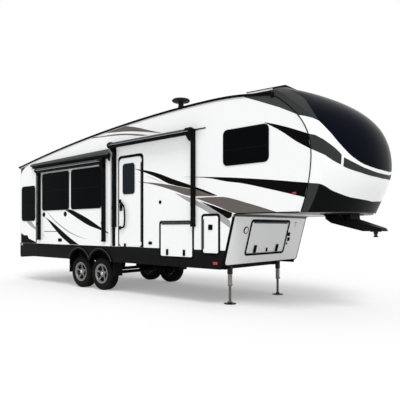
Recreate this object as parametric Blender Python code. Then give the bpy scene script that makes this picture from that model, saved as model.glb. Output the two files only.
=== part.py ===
"""Fifth wheel travel trailer: laminated body with a slide-out room, tandem leaf-sprung axles,
a moulded front cap over a raised bedroom deck, and a pin box with its kingpin.

Metres. X runs forward from the rear wall, Y to the left of the centreline, Z up from the ground.
The door side is the right, at negative Y. The empty "ground_datum" carries everything, so that
the world's origin is under the middle of the trailer.
"""

import math

import bmesh
import bpy
from mathutils import Matrix, Vector

# Fits between pieces
SEAT_GAP = 0.0003
RUNNING_GAP = 0.006
PIN_GAP = 0.0005

# Shading of round pieces
SHARP_ANGLE = math.radians(35)

# Body shell
BODY_WIDTH = 2.44
HALF_WIDTH = BODY_WIDTH / 2
WALL_THICK = 0.05
ROOF_THICK = 0.05
FLOOR_TOP = 0.95
FLOOR_THICK = 0.07
DECK_LENGTH = 6.94
DECK_UNDERSIDE = 1.58
DECK_THICK = 0.08
RISER_BACK = 1.82
REAR_WALL_FOOT = 0.7003

# Roof line along the side, which falls away behind and ahead of its crown
CROWN_BACK = 0.64
CROWN_HEIGHT = 3.545
REAR_FALL = 0.605
REAR_POWER = 1.75
FRONT_FALL = 0.141
FRONT_POWER = 2.6
ROOF_CAMBER = 0.11
ROOF_END = DECK_LENGTH + 0.72
CROWN_X = DECK_LENGTH - CROWN_BACK
ROOF_STEPS = 14
CAMBER_STEPS = 8

# Gooseneck front panel, which leans forward towards its top
PANEL_LEAN = 0.235
PANEL_FOOT = 0.70
PANEL_THICK = 0.04
PANEL_CORNER = 0.08

# Lower skirt, wheel arches and splash guards
SKIRT_THICK = 0.006
SKIRT_TOP = 0.965
SKIRT_FOOT = 0.64
ARCH_RADIUS = 0.395
ARCH_AHEAD = 0.08
ARCH_CENTRE_HEIGHT = 0.485
FLARE_WIDTH = 0.035
FLARE_PROUD = 0.03
LINER_THICK = 0.006
GUARD_FOOT = 0.33
GUARD_WIDTH = 0.25
GUARD_OUTER = 1.15
GUARD_CLEAR = 0.065

# Running gear
TYRE_RADIUS = 0.36
TYRE_HALF_WIDTH = 0.1125
RIM_RADIUS = 0.1957
WHEEL_TRACK_HALF = 1.03
REAR_AXLE_X = 2.53
AXLE_SPACING = 0.75
AXLE_TUBE_RADIUS = 0.038
SPINDLE_RADIUS = 0.0255
WHEEL_STEPS = 24
# Half of the gap between two spokes: radius, angle from its middle
SPOKE_GAP = ((0.092, 0.20), (0.155, 0.36), (0.172, 0.30))
SPRING_TRACK_HALF = 0.80
SPRING_WIDTH = 0.045
SPRING_HALF_SPAN = 0.32
SEAT_HALF = 0.05
SEAT_BLOCK = 0.008
SPRING_SAG = 0.05
LEAF_COUNT = 4
LEAF_THICK = 0.009
LEAF_LAP = 0.0008
LEAF_PITCH = LEAF_THICK - LEAF_LAP
LEAF_PACK = LEAF_COUNT * LEAF_PITCH + LEAF_LAP
SPRING_EYE_HEIGHT = TYRE_RADIUS + AXLE_TUBE_RADIUS + SEAT_BLOCK + LEAF_PACK + SPRING_SAG
EYE_RADIUS = 0.019

# Chassis
RAIL_FOOT = 0.605
RAIL_TOP = FLOOR_TOP - FLOOR_THICK - SEAT_GAP
RAIL_FLANGE = 0.10
RAIL_WEB = 0.012
FLANGE_THICK = 0.014
RAIL_START = WALL_THICK + SEAT_GAP
RAIL_END = DECK_LENGTH - 0.50
SILL_DEPTH = 0.04
OUTRIGGERS = (0.45, 1.75, 4.30, DECK_LENGTH - 1.89, DECK_LENGTH - 0.80)
OUTRIGGER_THICK = 0.04
CROSS_MEMBERS = (0.30, 1.90, 3.95, 5.40, DECK_LENGTH - 0.65)
BELLY_THICK = 0.008
HANGER_PLATE = 0.008
BUMPER_SIZE = 0.10
BUMPER_OVERHANG = 0.05

# Landing legs
LEG_OUTER = 0.076
LEG_DROP = 0.062
LEG_STEM = 0.048
LEG_SPLIT = 0.53
LEG_PIN = 0.345
PAD_RADIUS = 0.11
PAD_THICK = 0.012

# Openings in the right wall: rear edge, front edge, foot, head
REAR_WINDOW = (0.10, 0.70, 1.555, 2.39)
SLIDE_OPENING = (0.915, 3.67, 0.995, 2.80)
ENTRY_OPENING = (3.98, 4.66, 0.968, 2.77)
BAGGAGE_OPENING = (DECK_LENGTH - 1.74, DECK_LENGTH - 0.94, 0.82, 1.435)
UTILITY_OPENING = (DECK_LENGTH - 0.69, DECK_LENGTH - 0.35, 0.91, 1.555)
BED_WINDOW = (DECK_LENGTH - 0.22, DECK_LENGTH + 0.63, 2.41, 2.96)
ENTRY_WINDOW = (4.115, 4.45, 2.047, 2.635)
# Openings in the left wall
LIVING_WINDOW = (1.10, 2.55, 1.60, 2.40)
GALLEY_WINDOW = (3.55, 4.55, 1.75, 2.40)
# Opening in the rear wall: right edge, left edge, foot, head
TAIL_WINDOW = (-0.70, 0.70, 1.60, 2.35)
# Opening in the front panel, measured up its slope from the foot
HATCH_OPENING = (-0.66, 0.58, 0.20, 0.78)
WINDOW_CORNER = 0.06
WINDOW_LIP = 0.018
WINDOW_PROUD = 0.008
DOOR_CORNER = 0.03
ENTRY_CORNER = 0.09
DOOR_THICK = 0.045
BARREL_RADIUS = 0.008
HANDLE_SPAN = (1.35, 1.90)
HANDLE_STAND = 0.045
HANDLE_TUBE = 0.014
# Section of the strap from a hinge barrel to its door: distance along the door from the axis, then outwards
STRAP = ((0.024, -0.001), (0.0, -0.001), (0.0, -0.006), (0.007, -0.006), (0.007, -0.011), (0.024, -0.011))

# Latches on a door: share of the width, share of the height, width, height, rise
BAGGAGE_LATCHES = ((0.22, 0.12, 0.045, 0.10, 0.014), (0.76, 0.12, 0.045, 0.10, 0.014))
UTILITY_LATCHES = ((0.50, 0.70, 0.085, 0.085, 0.008),)
HATCH_LATCHES = (
    (0.20, 0.12, 0.045, 0.10, 0.014),
    (0.52, 0.08, 0.022, 0.05, 0.010),
    (0.80, 0.12, 0.045, 0.10, 0.014),
)
LATCH_ROOT = 0.004

# Slide-out room
SLIDE_DEPTH = 0.92
SLIDE_SHELL = 0.04
FASCIA_THICK = 0.035
FASCIA = (0.83, 3.755, 0.968, 2.835)
SLIDE_WINDOWS = {"rear": (1.15, 2.265, 1.785, 2.65), "front": (2.36, 3.45, 1.785, 2.65)}
RUNNERS = (1.10, 2.26, 3.42)

# Front cap ribs, from the chin up: height at the side, seam, crease and nose forward of the deck's
# front corner, height at the nose
CAP_THICK = 0.03
SEAM_TURN = 3.1
SEAM_GAP = 0.004
CREASE_INSET = 0.035
CAP_RIBS = (
    (1.580, 1.210, 1.310, 1.740, 1.600),
    (1.780, 1.277, 1.410, 1.830, 1.800),
    (2.020, 1.335, 1.500, 1.950, 2.045),
    (2.250, 1.367, 1.565, 2.010, 2.290),
    (2.480, 1.375, 1.585, 1.998, 2.540),
    (2.680, 1.345, 1.545, 1.945, 2.760),
    (2.860, 1.275, 1.455, 1.850, 2.960),
    (3.030, 1.165, 1.325, 1.700, 3.140),
    (3.170, 1.035, 1.175, 1.500, 3.300),
    (3.290, 0.895, 1.010, 1.270, 3.430),
    (3.370, 0.790, 0.870, 1.020, 3.505),
)
CAP_COLUMNS = 9
NOSE_POWER = 2.2

# Pin box and kingpin
PIN_BOX_REAR = DECK_LENGTH + 1.10
PIN_BOX_TIP = DECK_LENGTH + 2.02
PIN_BOX_NECK = DECK_LENGTH + 1.53
PIN_BOX_FLOOR = 1.295
PIN_BOX_HALF = 0.19
PIN_BOX_WING = 0.42
PIN_X = DECK_LENGTH + 1.87
PIN_RADIUS = 0.0254
PIN_FOOT = 1.20

# Awnings and roof equipment
ARM_WIDTH = 0.065
ROLLER_SIDES = 16
# Rear end, front end, height
PATIO_AWNING = (3.83, 6.075, 3.045)
PATIO_ROLLER_RADIUS = 0.055
PATIO_AWNING_STAND = 0.125
SLIDE_AWNING = (1.00, 3.60, 2.775)
SLIDE_ROLLER_RADIUS = 0.05
SLIDE_AWNING_STAND = 0.085
ARM_FOOT = 1.37
SLIDE_ARM_FOOT = 1.06
TOPPER_RADIUS = 0.045
TOPPER_LIFT = 0.04
TOPPER_OVERHANG = 0.22
# Rear end, front end, half width, height
COOLER = (6.56, 7.44, 0.35, 0.225)
AERIAL = (5.42, -0.90)
VENTS = {"galley_vent": (3.05, 0.35), "bath_vent": (5.62, 0.30)}

LADDER_STAND = 0.10
LADDER_TUBE = 0.0127
LADDER_SIDES = 8
LADDER_CENTRE = 0.93
LADDER_HALF_WIDTH = 0.19
LADDER_FOOT = 0.90
RUNG_COUNT = 7

FRONT_AXLE_X = REAR_AXLE_X + AXLE_SPACING
OUTER_FACE = HALF_WIDTH + SKIRT_THICK + SEAT_GAP
ENTRY_LEAF = 0.0035
HATCH_LEAF = OUTER_FACE - HALF_WIDTH + BARREL_RADIUS
FASCIA_LAP = HALF_WIDTH + SKIRT_THICK + RUNNING_GAP
ROLLER_REACH = SLIDE_ROLLER_RADIUS * math.cos(math.pi / ROLLER_SIDES)
OVERALL_REAR = -LADDER_STAND - LADDER_TUBE * math.cos(math.pi / LADDER_SIDES)
OVERALL_FRONT = PIN_BOX_TIP
OVERALL_RIGHT = -FASCIA_LAP - FASCIA_THICK - SLIDE_AWNING_STAND - ROLLER_REACH
OVERALL_LEFT = OUTER_FACE + FLARE_PROUD


def clear_scene():
    for obj in list(bpy.data.objects):
        bpy.data.objects.remove(obj)


def make_material(name, colour, roughness, metallic=0.0):
    material = bpy.data.materials.new(name)
    material.use_nodes = True
    shader = material.node_tree.nodes["Principled BSDF"]
    shader.inputs["Base Color"].default_value = (*colour, 1.0)
    shader.inputs["Roughness"].default_value = roughness
    shader.inputs["Metallic"].default_value = metallic
    material.diffuse_color = (*colour, 1.0)
    return material


clear_scene()
WHITE = make_material("white_gelcoat", (0.86, 0.86, 0.85), 0.25)
PALE_GREY = make_material("pale_grey_panel", (0.62, 0.62, 0.61), 0.35)
BLACK = make_material("black_skirt", (0.02, 0.02, 0.022), 0.4)
GLASS = make_material("dark_glass", (0.015, 0.018, 0.02), 0.05)
STEEL = make_material("black_steel", (0.015, 0.015, 0.016), 0.5, 0.4)
ZINC = make_material("zinc_plate", (0.55, 0.55, 0.53), 0.35, 0.9)
RUBBER = make_material("tyre_rubber", (0.02, 0.02, 0.02), 0.85)
ALLOY = make_material("wheel_alloy", (0.62, 0.63, 0.65), 0.25, 1.0)
SHROUD = make_material("dark_shroud", (0.06, 0.06, 0.065), 0.5)
MEMBRANE = make_material("roof_membrane", (0.75, 0.75, 0.74), 0.7)
WOOD = make_material("deck_board", (0.45, 0.35, 0.24), 0.8)

# Shape makers


def attach(obj, material, parent):
    bpy.context.scene.collection.objects.link(obj)
    obj.data.materials.append(material)
    obj.parent = parent
    return obj


def finish_mesh(name, bm, material, parent, smooth=False):
    bmesh.ops.remove_doubles(bm, verts=bm.verts, dist=1e-6)
    bmesh.ops.recalc_face_normals(bm, faces=bm.faces)
    mesh = bpy.data.meshes.new(name)
    bm.to_mesh(mesh)
    bm.free()
    if smooth:
        mesh.shade_smooth()
        mesh.set_sharp_from_angle(angle=SHARP_ANGLE)
    return attach(bpy.data.objects.new(name, mesh), material, parent)


def stack(name, loops, material, parent, smooth=False):
    """A solid through loops of points that all have the same count, closed by a cap at each end."""
    bm = bmesh.new()
    rings = [[bm.verts.new(point) for point in loop] for loop in loops]
    count = len(loops[0])
    for lower, upper in zip(rings, rings[1:]):
        for i in range(count):
            j = (i + 1) % count
            bm.faces.new((lower[i], lower[j], upper[j], upper[i]))
    bm.faces.new(rings[0])
    bm.faces.new(rings[-1])
    return finish_mesh(name, bm, material, parent, smooth)


def in_plane(axis, point, level):
    """A point of an outline set at a level of the axis that the outline faces."""
    first, second = point
    if axis == "X":
        return Vector((level, first, second))
    if axis == "Y":
        return Vector((first, level, second))
    return Vector((first, second, level))


def prism(name, axis, outline, start, end, material, parent):
    loops = [[in_plane(axis, p, level) for p in outline] for level in (start, end)]
    return stack(name, loops, material, parent)


def block(name, x, y, z, material, parent):
    outline = [(x[0], y[0]), (x[1], y[0]), (x[1], y[1]), (x[0], y[1])]
    return prism(name, "Z", outline, z[0], z[1], material, parent)


def rounded(box, radius, steps=4, grow=0.0):
    """Outline of a rectangle (first low, first high, second low, second high) with round corners."""
    a0, a1, b0, b1 = box[0] - grow, box[1] + grow, box[2] - grow, box[3] + grow
    radius = min(radius + max(grow, 0.0), 0.49 * (a1 - a0), 0.49 * (b1 - b0))
    corners = ((a1 - radius, b1 - radius, 0), (a0 + radius, b1 - radius, 90))
    corners += ((a0 + radius, b0 + radius, 180), (a1 - radius, b0 + radius, 270))
    points = []
    for ca, cb, first_angle in corners:
        for step in range(steps + 1):
            angle = math.radians(first_angle + 90 * step / steps)
            points.append((ca + radius * math.cos(angle), cb + radius * math.sin(angle)))
    return points


def circle(centre, radius, steps, turn=0.5):
    """Outline of a regular polygon; with turn at 0.5 it has a flat at its foot."""
    points = []
    for step in range(steps):
        angle = 2 * math.pi * (step + turn) / steps - math.pi / 2
        points.append((centre[0] + radius * math.cos(angle), centre[1] + radius * math.sin(angle)))
    return points


def rod(name, start, end, radius, material, parent, steps=10):
    """A round bar from one point to another."""
    start, end = Vector(start), Vector(end)
    turn = (end - start).to_track_quat("Z", "Y").to_matrix()
    ring = [turn @ Vector((u, v, 0)) for u, v in circle((0, 0), radius, steps)]
    loops = [[end_point + offset for offset in ring] for end_point in (start, end)]
    return stack(name, loops, material, parent, smooth=True)


def revolve(name, profile, steps, material, parent, closed=False):
    """Turns a profile of (radius, along) about the Y axis, with a flat at its foot."""
    bm = bmesh.new()
    half_step = math.pi / steps
    turn = Matrix.Rotation(half_step, 3, "Y")
    verts = [bm.verts.new(turn @ Vector((0, along, -radius))) for radius, along in profile]
    edges = [bm.edges.new(pair) for pair in zip(verts, verts[1:])]
    if closed:
        edges.append(bm.edges.new((verts[-1], verts[0])))
    bmesh.ops.spin(
        bm, geom=verts + edges, cent=(0, 0, 0), axis=(0, 1, 0), angle=2 * math.pi, steps=steps
    )
    return finish_mesh(name, bm, material, parent, smooth=True)


def as_helper(obj):
    obj.hide_render = True
    obj.display_type = "WIRE"
    return obj


def combine(base, others, operation):
    """Cuts the others from the base, or joins them to it."""
    group = bpy.data.collections.new(base.name + "_" + operation.lower())
    for other in others:
        as_helper(other)
        group.objects.link(other)
    modifier = base.modifiers.new(operation.lower(), "BOOLEAN")
    modifier.operation = operation
    modifier.operand_type = "COLLECTION"
    modifier.collection = group
    modifier.solver = "EXACT"
    return base


def cut(base, *cutters):
    return combine(base, cutters, "DIFFERENCE")


def join(base, *pieces):
    return combine(base, pieces, "UNION")


def pivot(name, place, parent):
    """An empty on a joint's axis, which carries a moving piece."""
    empty = bpy.data.objects.new(name, None)
    bpy.context.scene.collection.objects.link(empty)
    empty.parent = parent
    empty.location = place
    return empty


def shifted(points, offset):
    return [(p[0] - offset[0], p[1] - offset[1]) for p in points]


# Lines that several pieces share


def roof_height(x):
    """Top of the roof at its side edge."""
    if x <= CROWN_X:
        return CROWN_HEIGHT - REAR_FALL * ((CROWN_X - x) / CROWN_X) ** REAR_POWER
    return CROWN_HEIGHT - FRONT_FALL * ((x - CROWN_X) / (ROOF_END - CROWN_X)) ** FRONT_POWER


def camber(y):
    return ROOF_CAMBER * (1 - (y / HALF_WIDTH) ** 2)


def roof_stations():
    return [ROOF_END * step / ROOF_STEPS for step in range(ROOF_STEPS + 1)]


def panel_x(z):
    """Outer face of the gooseneck panel at a height."""
    return DECK_LENGTH - PANEL_LEAN * (DECK_UNDERSIDE - z) / (DECK_UNDERSIDE - PANEL_FOOT)


def cap_rib(row, inset=0.0):
    """One rib of the cap, from the right seam round the nose to the left seam."""
    side_z, seam, crease, nose, nose_z = row
    half = HALF_WIDTH - inset
    seam_point = (DECK_LENGTH + seam + SEAT_GAP, half, side_z)
    crease_x = DECK_LENGTH + crease - inset
    nose_x = DECK_LENGTH + nose - inset
    crease_y = half - CREASE_INSET
    bend = []
    for step in range(CAP_COLUMNS + 1):
        share = 1 - step / CAP_COLUMNS
        x = nose_x - (nose_x - crease_x) * share**NOSE_POWER
        z = nose_z - (nose_z - side_z) * share**2
        bend.append((x, crease_y * share, z))
    right = [seam_point, *bend]
    left = [(x, -y, z) for x, y, z in reversed(right[:-1])]
    return [Vector((x, -y, z)) for x, y, z in right + left]


def crown_rib():
    """The cap's rear edge on the roof, with as many points as the other ribs."""
    half_points = CAP_COLUMNS + 2
    right = []
    for step in range(half_points):
        y = HALF_WIDTH * (1 - step / (half_points - 1))
        right.append((ROOF_END + SEAT_GAP, y, roof_height(ROOF_END) + camber(y)))
    left = [(x, -y, z) for x, y, z in reversed(right[:-1])]
    return [Vector((x, -y, z)) for x, y, z in right + left]


def wall_outline():
    """Side wall seen from the side: floor line, roof line, cap seam, deck edge and gooseneck edge."""
    foot = FLOOR_TOP - FLOOR_THICK
    under_roof = ROOF_THICK + SEAT_GAP
    points = [(0.0, foot), (0.0, roof_height(0) - under_roof)]
    points += [(x, roof_height(x) - under_roof) for x in roof_stations()[1:]]
    step_x = ROOF_END + SEAT_GAP
    points += [(step_x, roof_height(ROOF_END) - under_roof)]
    points += [(step_x, roof_height(ROOF_END) - 0.006)]
    for row in reversed(CAP_RIBS):
        gap = SEAT_GAP if row[0] < SEAM_TURN else SEAM_GAP
        points.append((DECK_LENGTH + row[1] - gap, row[0]))
    back = PANEL_THICK / math.cos(math.atan(PANEL_LEAN / (DECK_UNDERSIDE - PANEL_FOOT)))
    points += [(panel_x(z) - back - SEAT_GAP, z) for z in (DECK_UNDERSIDE, foot)]
    return points


# Body shell


def make_wall(side, openings, parent):
    outer, inner = side * HALF_WIDTH, side * (HALF_WIDTH - WALL_THICK)
    name = "wall_right" if side < 0 else "wall_left"
    wall = prism(name, "Y", wall_outline(), outer, inner, WHITE, parent)
    cutters = []
    for label, (opening, radius) in openings.items():
        outline = rounded(opening, radius, 3)
        reach = sorted((side * (HALF_WIDTH + 0.05), side * (HALF_WIDTH - WALL_THICK - 0.05)))
        cutters.append(prism(f"{name}_{label}", "Y", outline, *reach, WHITE, parent))
    return cut(wall, *cutters)


def make_rear_wall(parent):
    half = HALF_WIDTH - WALL_THICK - SEAT_GAP
    head = roof_height(0) - ROOF_THICK - SEAT_GAP
    outline = [(half, REAR_WALL_FOOT), (-half, REAR_WALL_FOOT)]
    for step in range(CAMBER_STEPS + 1):
        y = -HALF_WIDTH + 2 * HALF_WIDTH * step / CAMBER_STEPS
        clipped = max(-half, min(half, y))
        outline.append((clipped, head + camber(clipped) * (abs(y) < half)))
    wall = prism("rear_wall", "X", outline, 0.0, WALL_THICK, WHITE, parent)
    hole = rounded(TAIL_WINDOW, WINDOW_CORNER, 3)
    return cut(wall, prism("rear_wall_window", "X", hole, -0.05, 0.15, WHITE, parent))


def make_roof(parent):
    """Cambered membrane roof that follows the side walls' roof line."""
    ys = [-HALF_WIDTH + 2 * HALF_WIDTH * step / CAMBER_STEPS for step in range(CAMBER_STEPS + 1)]
    loops = []
    for x in roof_stations():
        top = [Vector((x, y, roof_height(x) + camber(y))) for y in ys]
        under = [Vector((x, y, roof_height(x) + camber(y) - ROOF_THICK)) for y in reversed(ys)]
        loops.append(top + under)
    return stack("roof", loops, MEMBRANE, parent)


def make_floor(parent):
    half = HALF_WIDTH - WALL_THICK - SEAT_GAP
    front = panel_x(FLOOR_TOP - FLOOR_THICK) - 0.06
    x = (WALL_THICK + SEAT_GAP, front)
    floor = block("floor", x, (-half, half), (FLOOR_TOP - FLOOR_THICK, FLOOR_TOP), WOOD, parent)
    head = SLIDE_OPENING[2] + RUNNING_GAP - PIN_GAP
    runners = []
    for index, centre in enumerate(RUNNERS):
        place = (centre - 0.03, centre + 0.03), (-half + 0.01, -0.30), (FLOOR_TOP - 0.02, head)
        runners.append(block(f"slide_runner_{index}", *place, WOOD, parent))
    return join(floor, *runners)


def deck_front():
    """Plan outline of the deck inside the cap."""
    rib = cap_rib(CAP_RIBS[0], CAP_THICK + SEAT_GAP * 3)
    return [(point.x, point.y) for point in rib]


def make_deck(parent):
    """Raised bedroom floor, with the riser that closes the baggage bay at its rear."""
    half = HALF_WIDTH - WALL_THICK - SEAT_GAP
    rear = DECK_LENGTH - RISER_BACK
    seam = DECK_LENGTH + CAP_RIBS[0][1] + SEAT_GAP
    nose = [point for point in deck_front() if point[0] > seam + 0.01]
    outline = [(rear, -half), (seam, -half), *nose, (seam, half), (rear, half)]
    z = (DECK_UNDERSIDE, DECK_UNDERSIDE + DECK_THICK)
    deck = prism("bedroom_deck", "Z", outline, *z, WOOD, parent)
    riser = block(
        "deck_riser", (rear, rear + 0.04), (-half, half), (FLOOR_TOP + SEAT_GAP, z[1] - 0.01), WOOD, parent
    )
    return join(deck, riser)


def slope_frame(parent):
    """An empty at the panel's foot whose local Z runs up the panel and local X out of it."""
    frame = pivot("panel_slope", (panel_x(PANEL_FOOT), 0, PANEL_FOOT), parent)
    frame.rotation_euler = (0, math.atan(PANEL_LEAN / (DECK_UNDERSIDE - PANEL_FOOT)), 0)
    return frame


def make_front_panel(slope):
    lean = math.atan(PANEL_LEAN / (DECK_UNDERSIDE - PANEL_FOOT))
    height = (DECK_UNDERSIDE - PANEL_FOOT) / math.cos(lean) - 0.012
    edge = rounded((-HALF_WIDTH, HALF_WIDTH, 0.0, height), PANEL_CORNER, 4)
    panel = prism("front_panel", "X", edge, -PANEL_THICK, 0.0, PALE_GREY, slope)
    hole = rounded(HATCH_OPENING, DOOR_CORNER, 3)
    hinge_strip = block(
        "hatch_hinge_strip",
        (-0.01, BARREL_RADIUS),
        (HATCH_OPENING[0] + 0.03, HATCH_OPENING[1] - 0.03),
        (HATCH_OPENING[3] + BARREL_RADIUS + PIN_GAP, HATCH_OPENING[3] + 0.030),
        BLACK,
        slope,
    )
    cut(panel, prism("hatch_hole", "X", hole, -0.1, 0.05, PALE_GREY, slope))
    return join(panel, hinge_strip)


def skin(bm, rows):
    """Faces between neighbouring rows of vertices."""
    for lower, upper in zip(rows, rows[1:]):
        for i in range(len(lower) - 1):
            bm.faces.new((lower[i], lower[i + 1], upper[i + 1], upper[i]))


def make_cap(parent):
    """Moulded front cap: ribs from the chin to the roof, skinned and thickened inwards."""
    ribs = [cap_rib(row) for row in CAP_RIBS] + [crown_rib()]
    bm = bmesh.new()
    outer = [[bm.verts.new(point) for point in rib] for rib in ribs]
    skin(bm, outer)
    bmesh.ops.recalc_face_normals(bm, faces=bm.faces)
    bm.normal_update()
    last_row, last_column = len(outer) - 1, len(outer[0]) - 1
    outward = 1.0 if outer[4][last_column // 2].normal.x > 0 else -1.0
    inner = []
    for row, rib in enumerate(outer):
        inner_rib = []
        for column, vert in enumerate(rib):
            way = vert.normal * outward
            if column in (0, last_column):
                way = Vector((0, math.copysign(1.0, vert.co.y), 0))
            elif row == 0:
                way = Vector((way.x, way.y, 0)).normalized()
            elif row == last_row:
                way = Vector((0, 0, 1))
            inner_rib.append(bm.verts.new(vert.co - way * CAP_THICK))
        inner.append(inner_rib)
    skin(bm, inner)
    for pair in ((outer[0], inner[0]), (outer[-1], inner[-1])):
        skin(bm, pair)
    for column in (0, last_column):
        skin(bm, [[rib[column] for rib in grid] for grid in (outer, inner)])
    return finish_mesh("front_cap", bm, WHITE, parent, smooth=True)


# Skirts with arches, flares, liners and splash guards


def make_skirt(side, openings, parent):
    name = "skirt_right" if side < 0 else "skirt_left"
    inner = side * (HALF_WIDTH + SEAT_GAP)
    outer = side * OUTER_FACE
    front = [panel_x(z) - PANEL_THICK - 0.003 for z in (SKIRT_TOP, SKIRT_FOOT)]
    outline = [(0.0, SKIRT_FOOT), (0.0, SKIRT_TOP), (front[0], SKIRT_TOP), (front[1], SKIRT_FOOT)]
    skirt = prism(name, "Y", outline, inner, outer, BLACK, parent)
    flares, holes = [], []
    proud = side * (OUTER_FACE + FLARE_PROUD)
    for label, axle_x in (("rear", REAR_AXLE_X), ("front", FRONT_AXLE_X)):
        centre = (axle_x + ARCH_AHEAD, ARCH_CENTRE_HEIGHT)
        ring = circle(centre, ARCH_RADIUS + FLARE_WIDTH, 28)
        ring = [(x, max(z, SKIRT_FOOT)) for x, z in ring]
        kept = [p for i, p in enumerate(ring) if p[1] > SKIRT_FOOT or ring[i - 1][1] > SKIRT_FOOT
                or ring[(i + 1) % len(ring)][1] > SKIRT_FOOT]
        flares.append(prism(f"{name}_flare_{label}", "Y", kept, inner, proud, BLACK, parent))
        reach = sorted((side * (HALF_WIDTH - 0.02), side * (OUTER_FACE + 0.1)))
        hole = circle(centre, ARCH_RADIUS, 28)
        holes.append(prism(f"{name}_arch_{label}", "Y", hole, *reach, BLACK, parent))
    join(skirt, *flares)
    for label, opening in openings.items():
        reach = sorted((side * (HALF_WIDTH - 0.02), side * (OUTER_FACE + 0.1)))
        outline = rounded(opening, DOOR_CORNER, 3)
        holes.append(prism(f"{name}_{label}", "Y", outline, *reach, BLACK, parent))
    cut(skirt, *holes)
    return join(skirt, *make_liner(name, side, parent))


def make_liner(name, side, parent):
    """Roof of the wheel well under the floor, with a splash guard at each end."""
    rear = REAR_AXLE_X - TYRE_RADIUS - GUARD_CLEAR
    front = FRONT_AXLE_X + TYRE_RADIUS + GUARD_CLEAR
    head = FLOOR_TOP - FLOOR_THICK - SEAT_GAP
    beside_rail = SPRING_TRACK_HALF + RAIL_FLANGE / 2 + SEAT_GAP
    across = sorted((side * (HALF_WIDTH + SKIRT_THICK / 2), side * beside_rail))
    roof = block(f"{name}_liner", (rear, front), across, (head - LINER_THICK, head), BLACK, parent)
    guards = []
    for label, x in (("rear", rear), ("front", front - LINER_THICK)):
        span = sorted((side * GUARD_OUTER, side * (GUARD_OUTER - GUARD_WIDTH)))
        place = (x, x + LINER_THICK), span, (GUARD_FOOT, head - 0.001)
        guards.append(block(f"{name}_guard_{label}", *place, BLACK, parent))
    return [roof, *guards]


# Chassis, suspension and wheels


def hanger_places():
    """Where the springs hang: rear eye, equalizer and front eye."""
    middle = (REAR_AXLE_X + FRONT_AXLE_X) / 2
    return (REAR_AXLE_X - SPRING_HALF_SPAN, middle, FRONT_AXLE_X + SPRING_HALF_SPAN)


def rail_section():
    """Outline of the I-beam about its web."""
    half, web = RAIL_FLANGE / 2, RAIL_WEB / 2
    low, high = RAIL_FOOT + FLANGE_THICK, RAIL_TOP - FLANGE_THICK
    right = [(half, RAIL_FOOT), (half, low), (web, low), (web, high), (half, high), (half, RAIL_TOP)]
    return right + [(-y, z) for y, z in reversed(right)]


def make_rail(side, parent):
    """One I-beam with its spring hangers and its outriggers."""
    label = "right" if side < 0 else "left"
    y = side * SPRING_TRACK_HALF
    outline = [(y + dy, z) for dy, z in rail_section()]
    rail = prism(f"chassis_rail_{label}", "X", outline, RAIL_START, RAIL_END, STEEL, parent)
    pieces = []
    for index, x in enumerate(hanger_places()):
        for face in (-1, 1):
            inner = y + face * (SPRING_WIDTH / 2 + SEAT_GAP)
            plate = sorted((inner, inner + face * HANGER_PLATE))
            drop = SPRING_EYE_HEIGHT - 0.03
            shape = [(x - 0.055, RAIL_FOOT + 0.005), (x + 0.055, RAIL_FOOT + 0.005)]
            shape += [(x + 0.03, drop), (x - 0.03, drop)]
            name = f"hanger_{label}_{index}_{face}"
            pieces.append(prism(name, "Y", shape, *plate, STEEL, parent))
    root, tip = side * (SPRING_TRACK_HALF + RAIL_WEB / 4), side * (HALF_WIDTH - 0.03)
    head = RAIL_TOP - 0.002
    wedge = [(root, head), (tip, head), (tip, RAIL_TOP - 0.05), (root, RAIL_TOP - 0.20)]
    for index, x in enumerate(OUTRIGGERS):
        name = f"outrigger_{label}_{index}"
        pieces.append(prism(name, "X", wedge, x, x + OUTRIGGER_THICK, STEEL, parent))
    return join(rail, *pieces)


def make_belly(parent):
    """Sheet between the rails under the floor, with the cross members that stand on it."""
    half = SPRING_TRACK_HALF - RAIL_FLANGE / 2 - SEAT_GAP
    foot = RAIL_FOOT + 0.002
    x = (RAIL_START + 0.03, RAIL_END - 0.03)
    sheet = block("underbelly", x, (-half, half), (foot, foot + BELLY_THICK), BLACK, parent)
    members = []
    for index, start in enumerate(CROSS_MEMBERS):
        place = (start, start + 0.05), (-half, half), (foot + BELLY_THICK / 2, foot + 0.16)
        members.append(block(f"cross_member_{index}", *place, STEEL, parent))
    return join(sheet, *members)


def make_sill(parent):
    """Box across the rails' front ends, which the landing legs are bolted to."""
    half = SPRING_TRACK_HALF + 0.12
    x = (RAIL_END + SEAT_GAP, RAIL_END + SILL_DEPTH)
    return block("front_sill", x, (-half, half), (0.62, RAIL_TOP), STEEL, parent)


def make_bumper(parent):
    top = REAR_WALL_FOOT - SEAT_GAP
    edge = rounded((-BUMPER_OVERHANG, RAIL_START - SEAT_GAP, top - BUMPER_SIZE, top), 0.012, 2)
    return prism("rear_bumper", "Y", edge, -HALF_WIDTH + 0.03, HALF_WIDTH - 0.03, STEEL, parent)


def leaf_height(offset):
    """Top of the main leaf, which dips from its eyes to a flat at the axle's seat."""
    rise = max(0.0, abs(offset) - SEAT_HALF) / (SPRING_HALF_SPAN - SEAT_HALF)
    return SPRING_EYE_HEIGHT - SPRING_SAG * (1 - rise**2)


def leaf_strip(half_span, top, thickness, steps=2):
    """Side view of one curved leaf."""
    spread = [SEAT_HALF + (half_span - SEAT_HALF) * step / steps for step in range(steps + 1)]
    xs = [-x for x in reversed(spread)] + spread
    upper = [(x, leaf_height(x) + top) for x in xs]
    lower = [(x, leaf_height(x) + top - thickness) for x in reversed(xs)]
    return upper + lower


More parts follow.
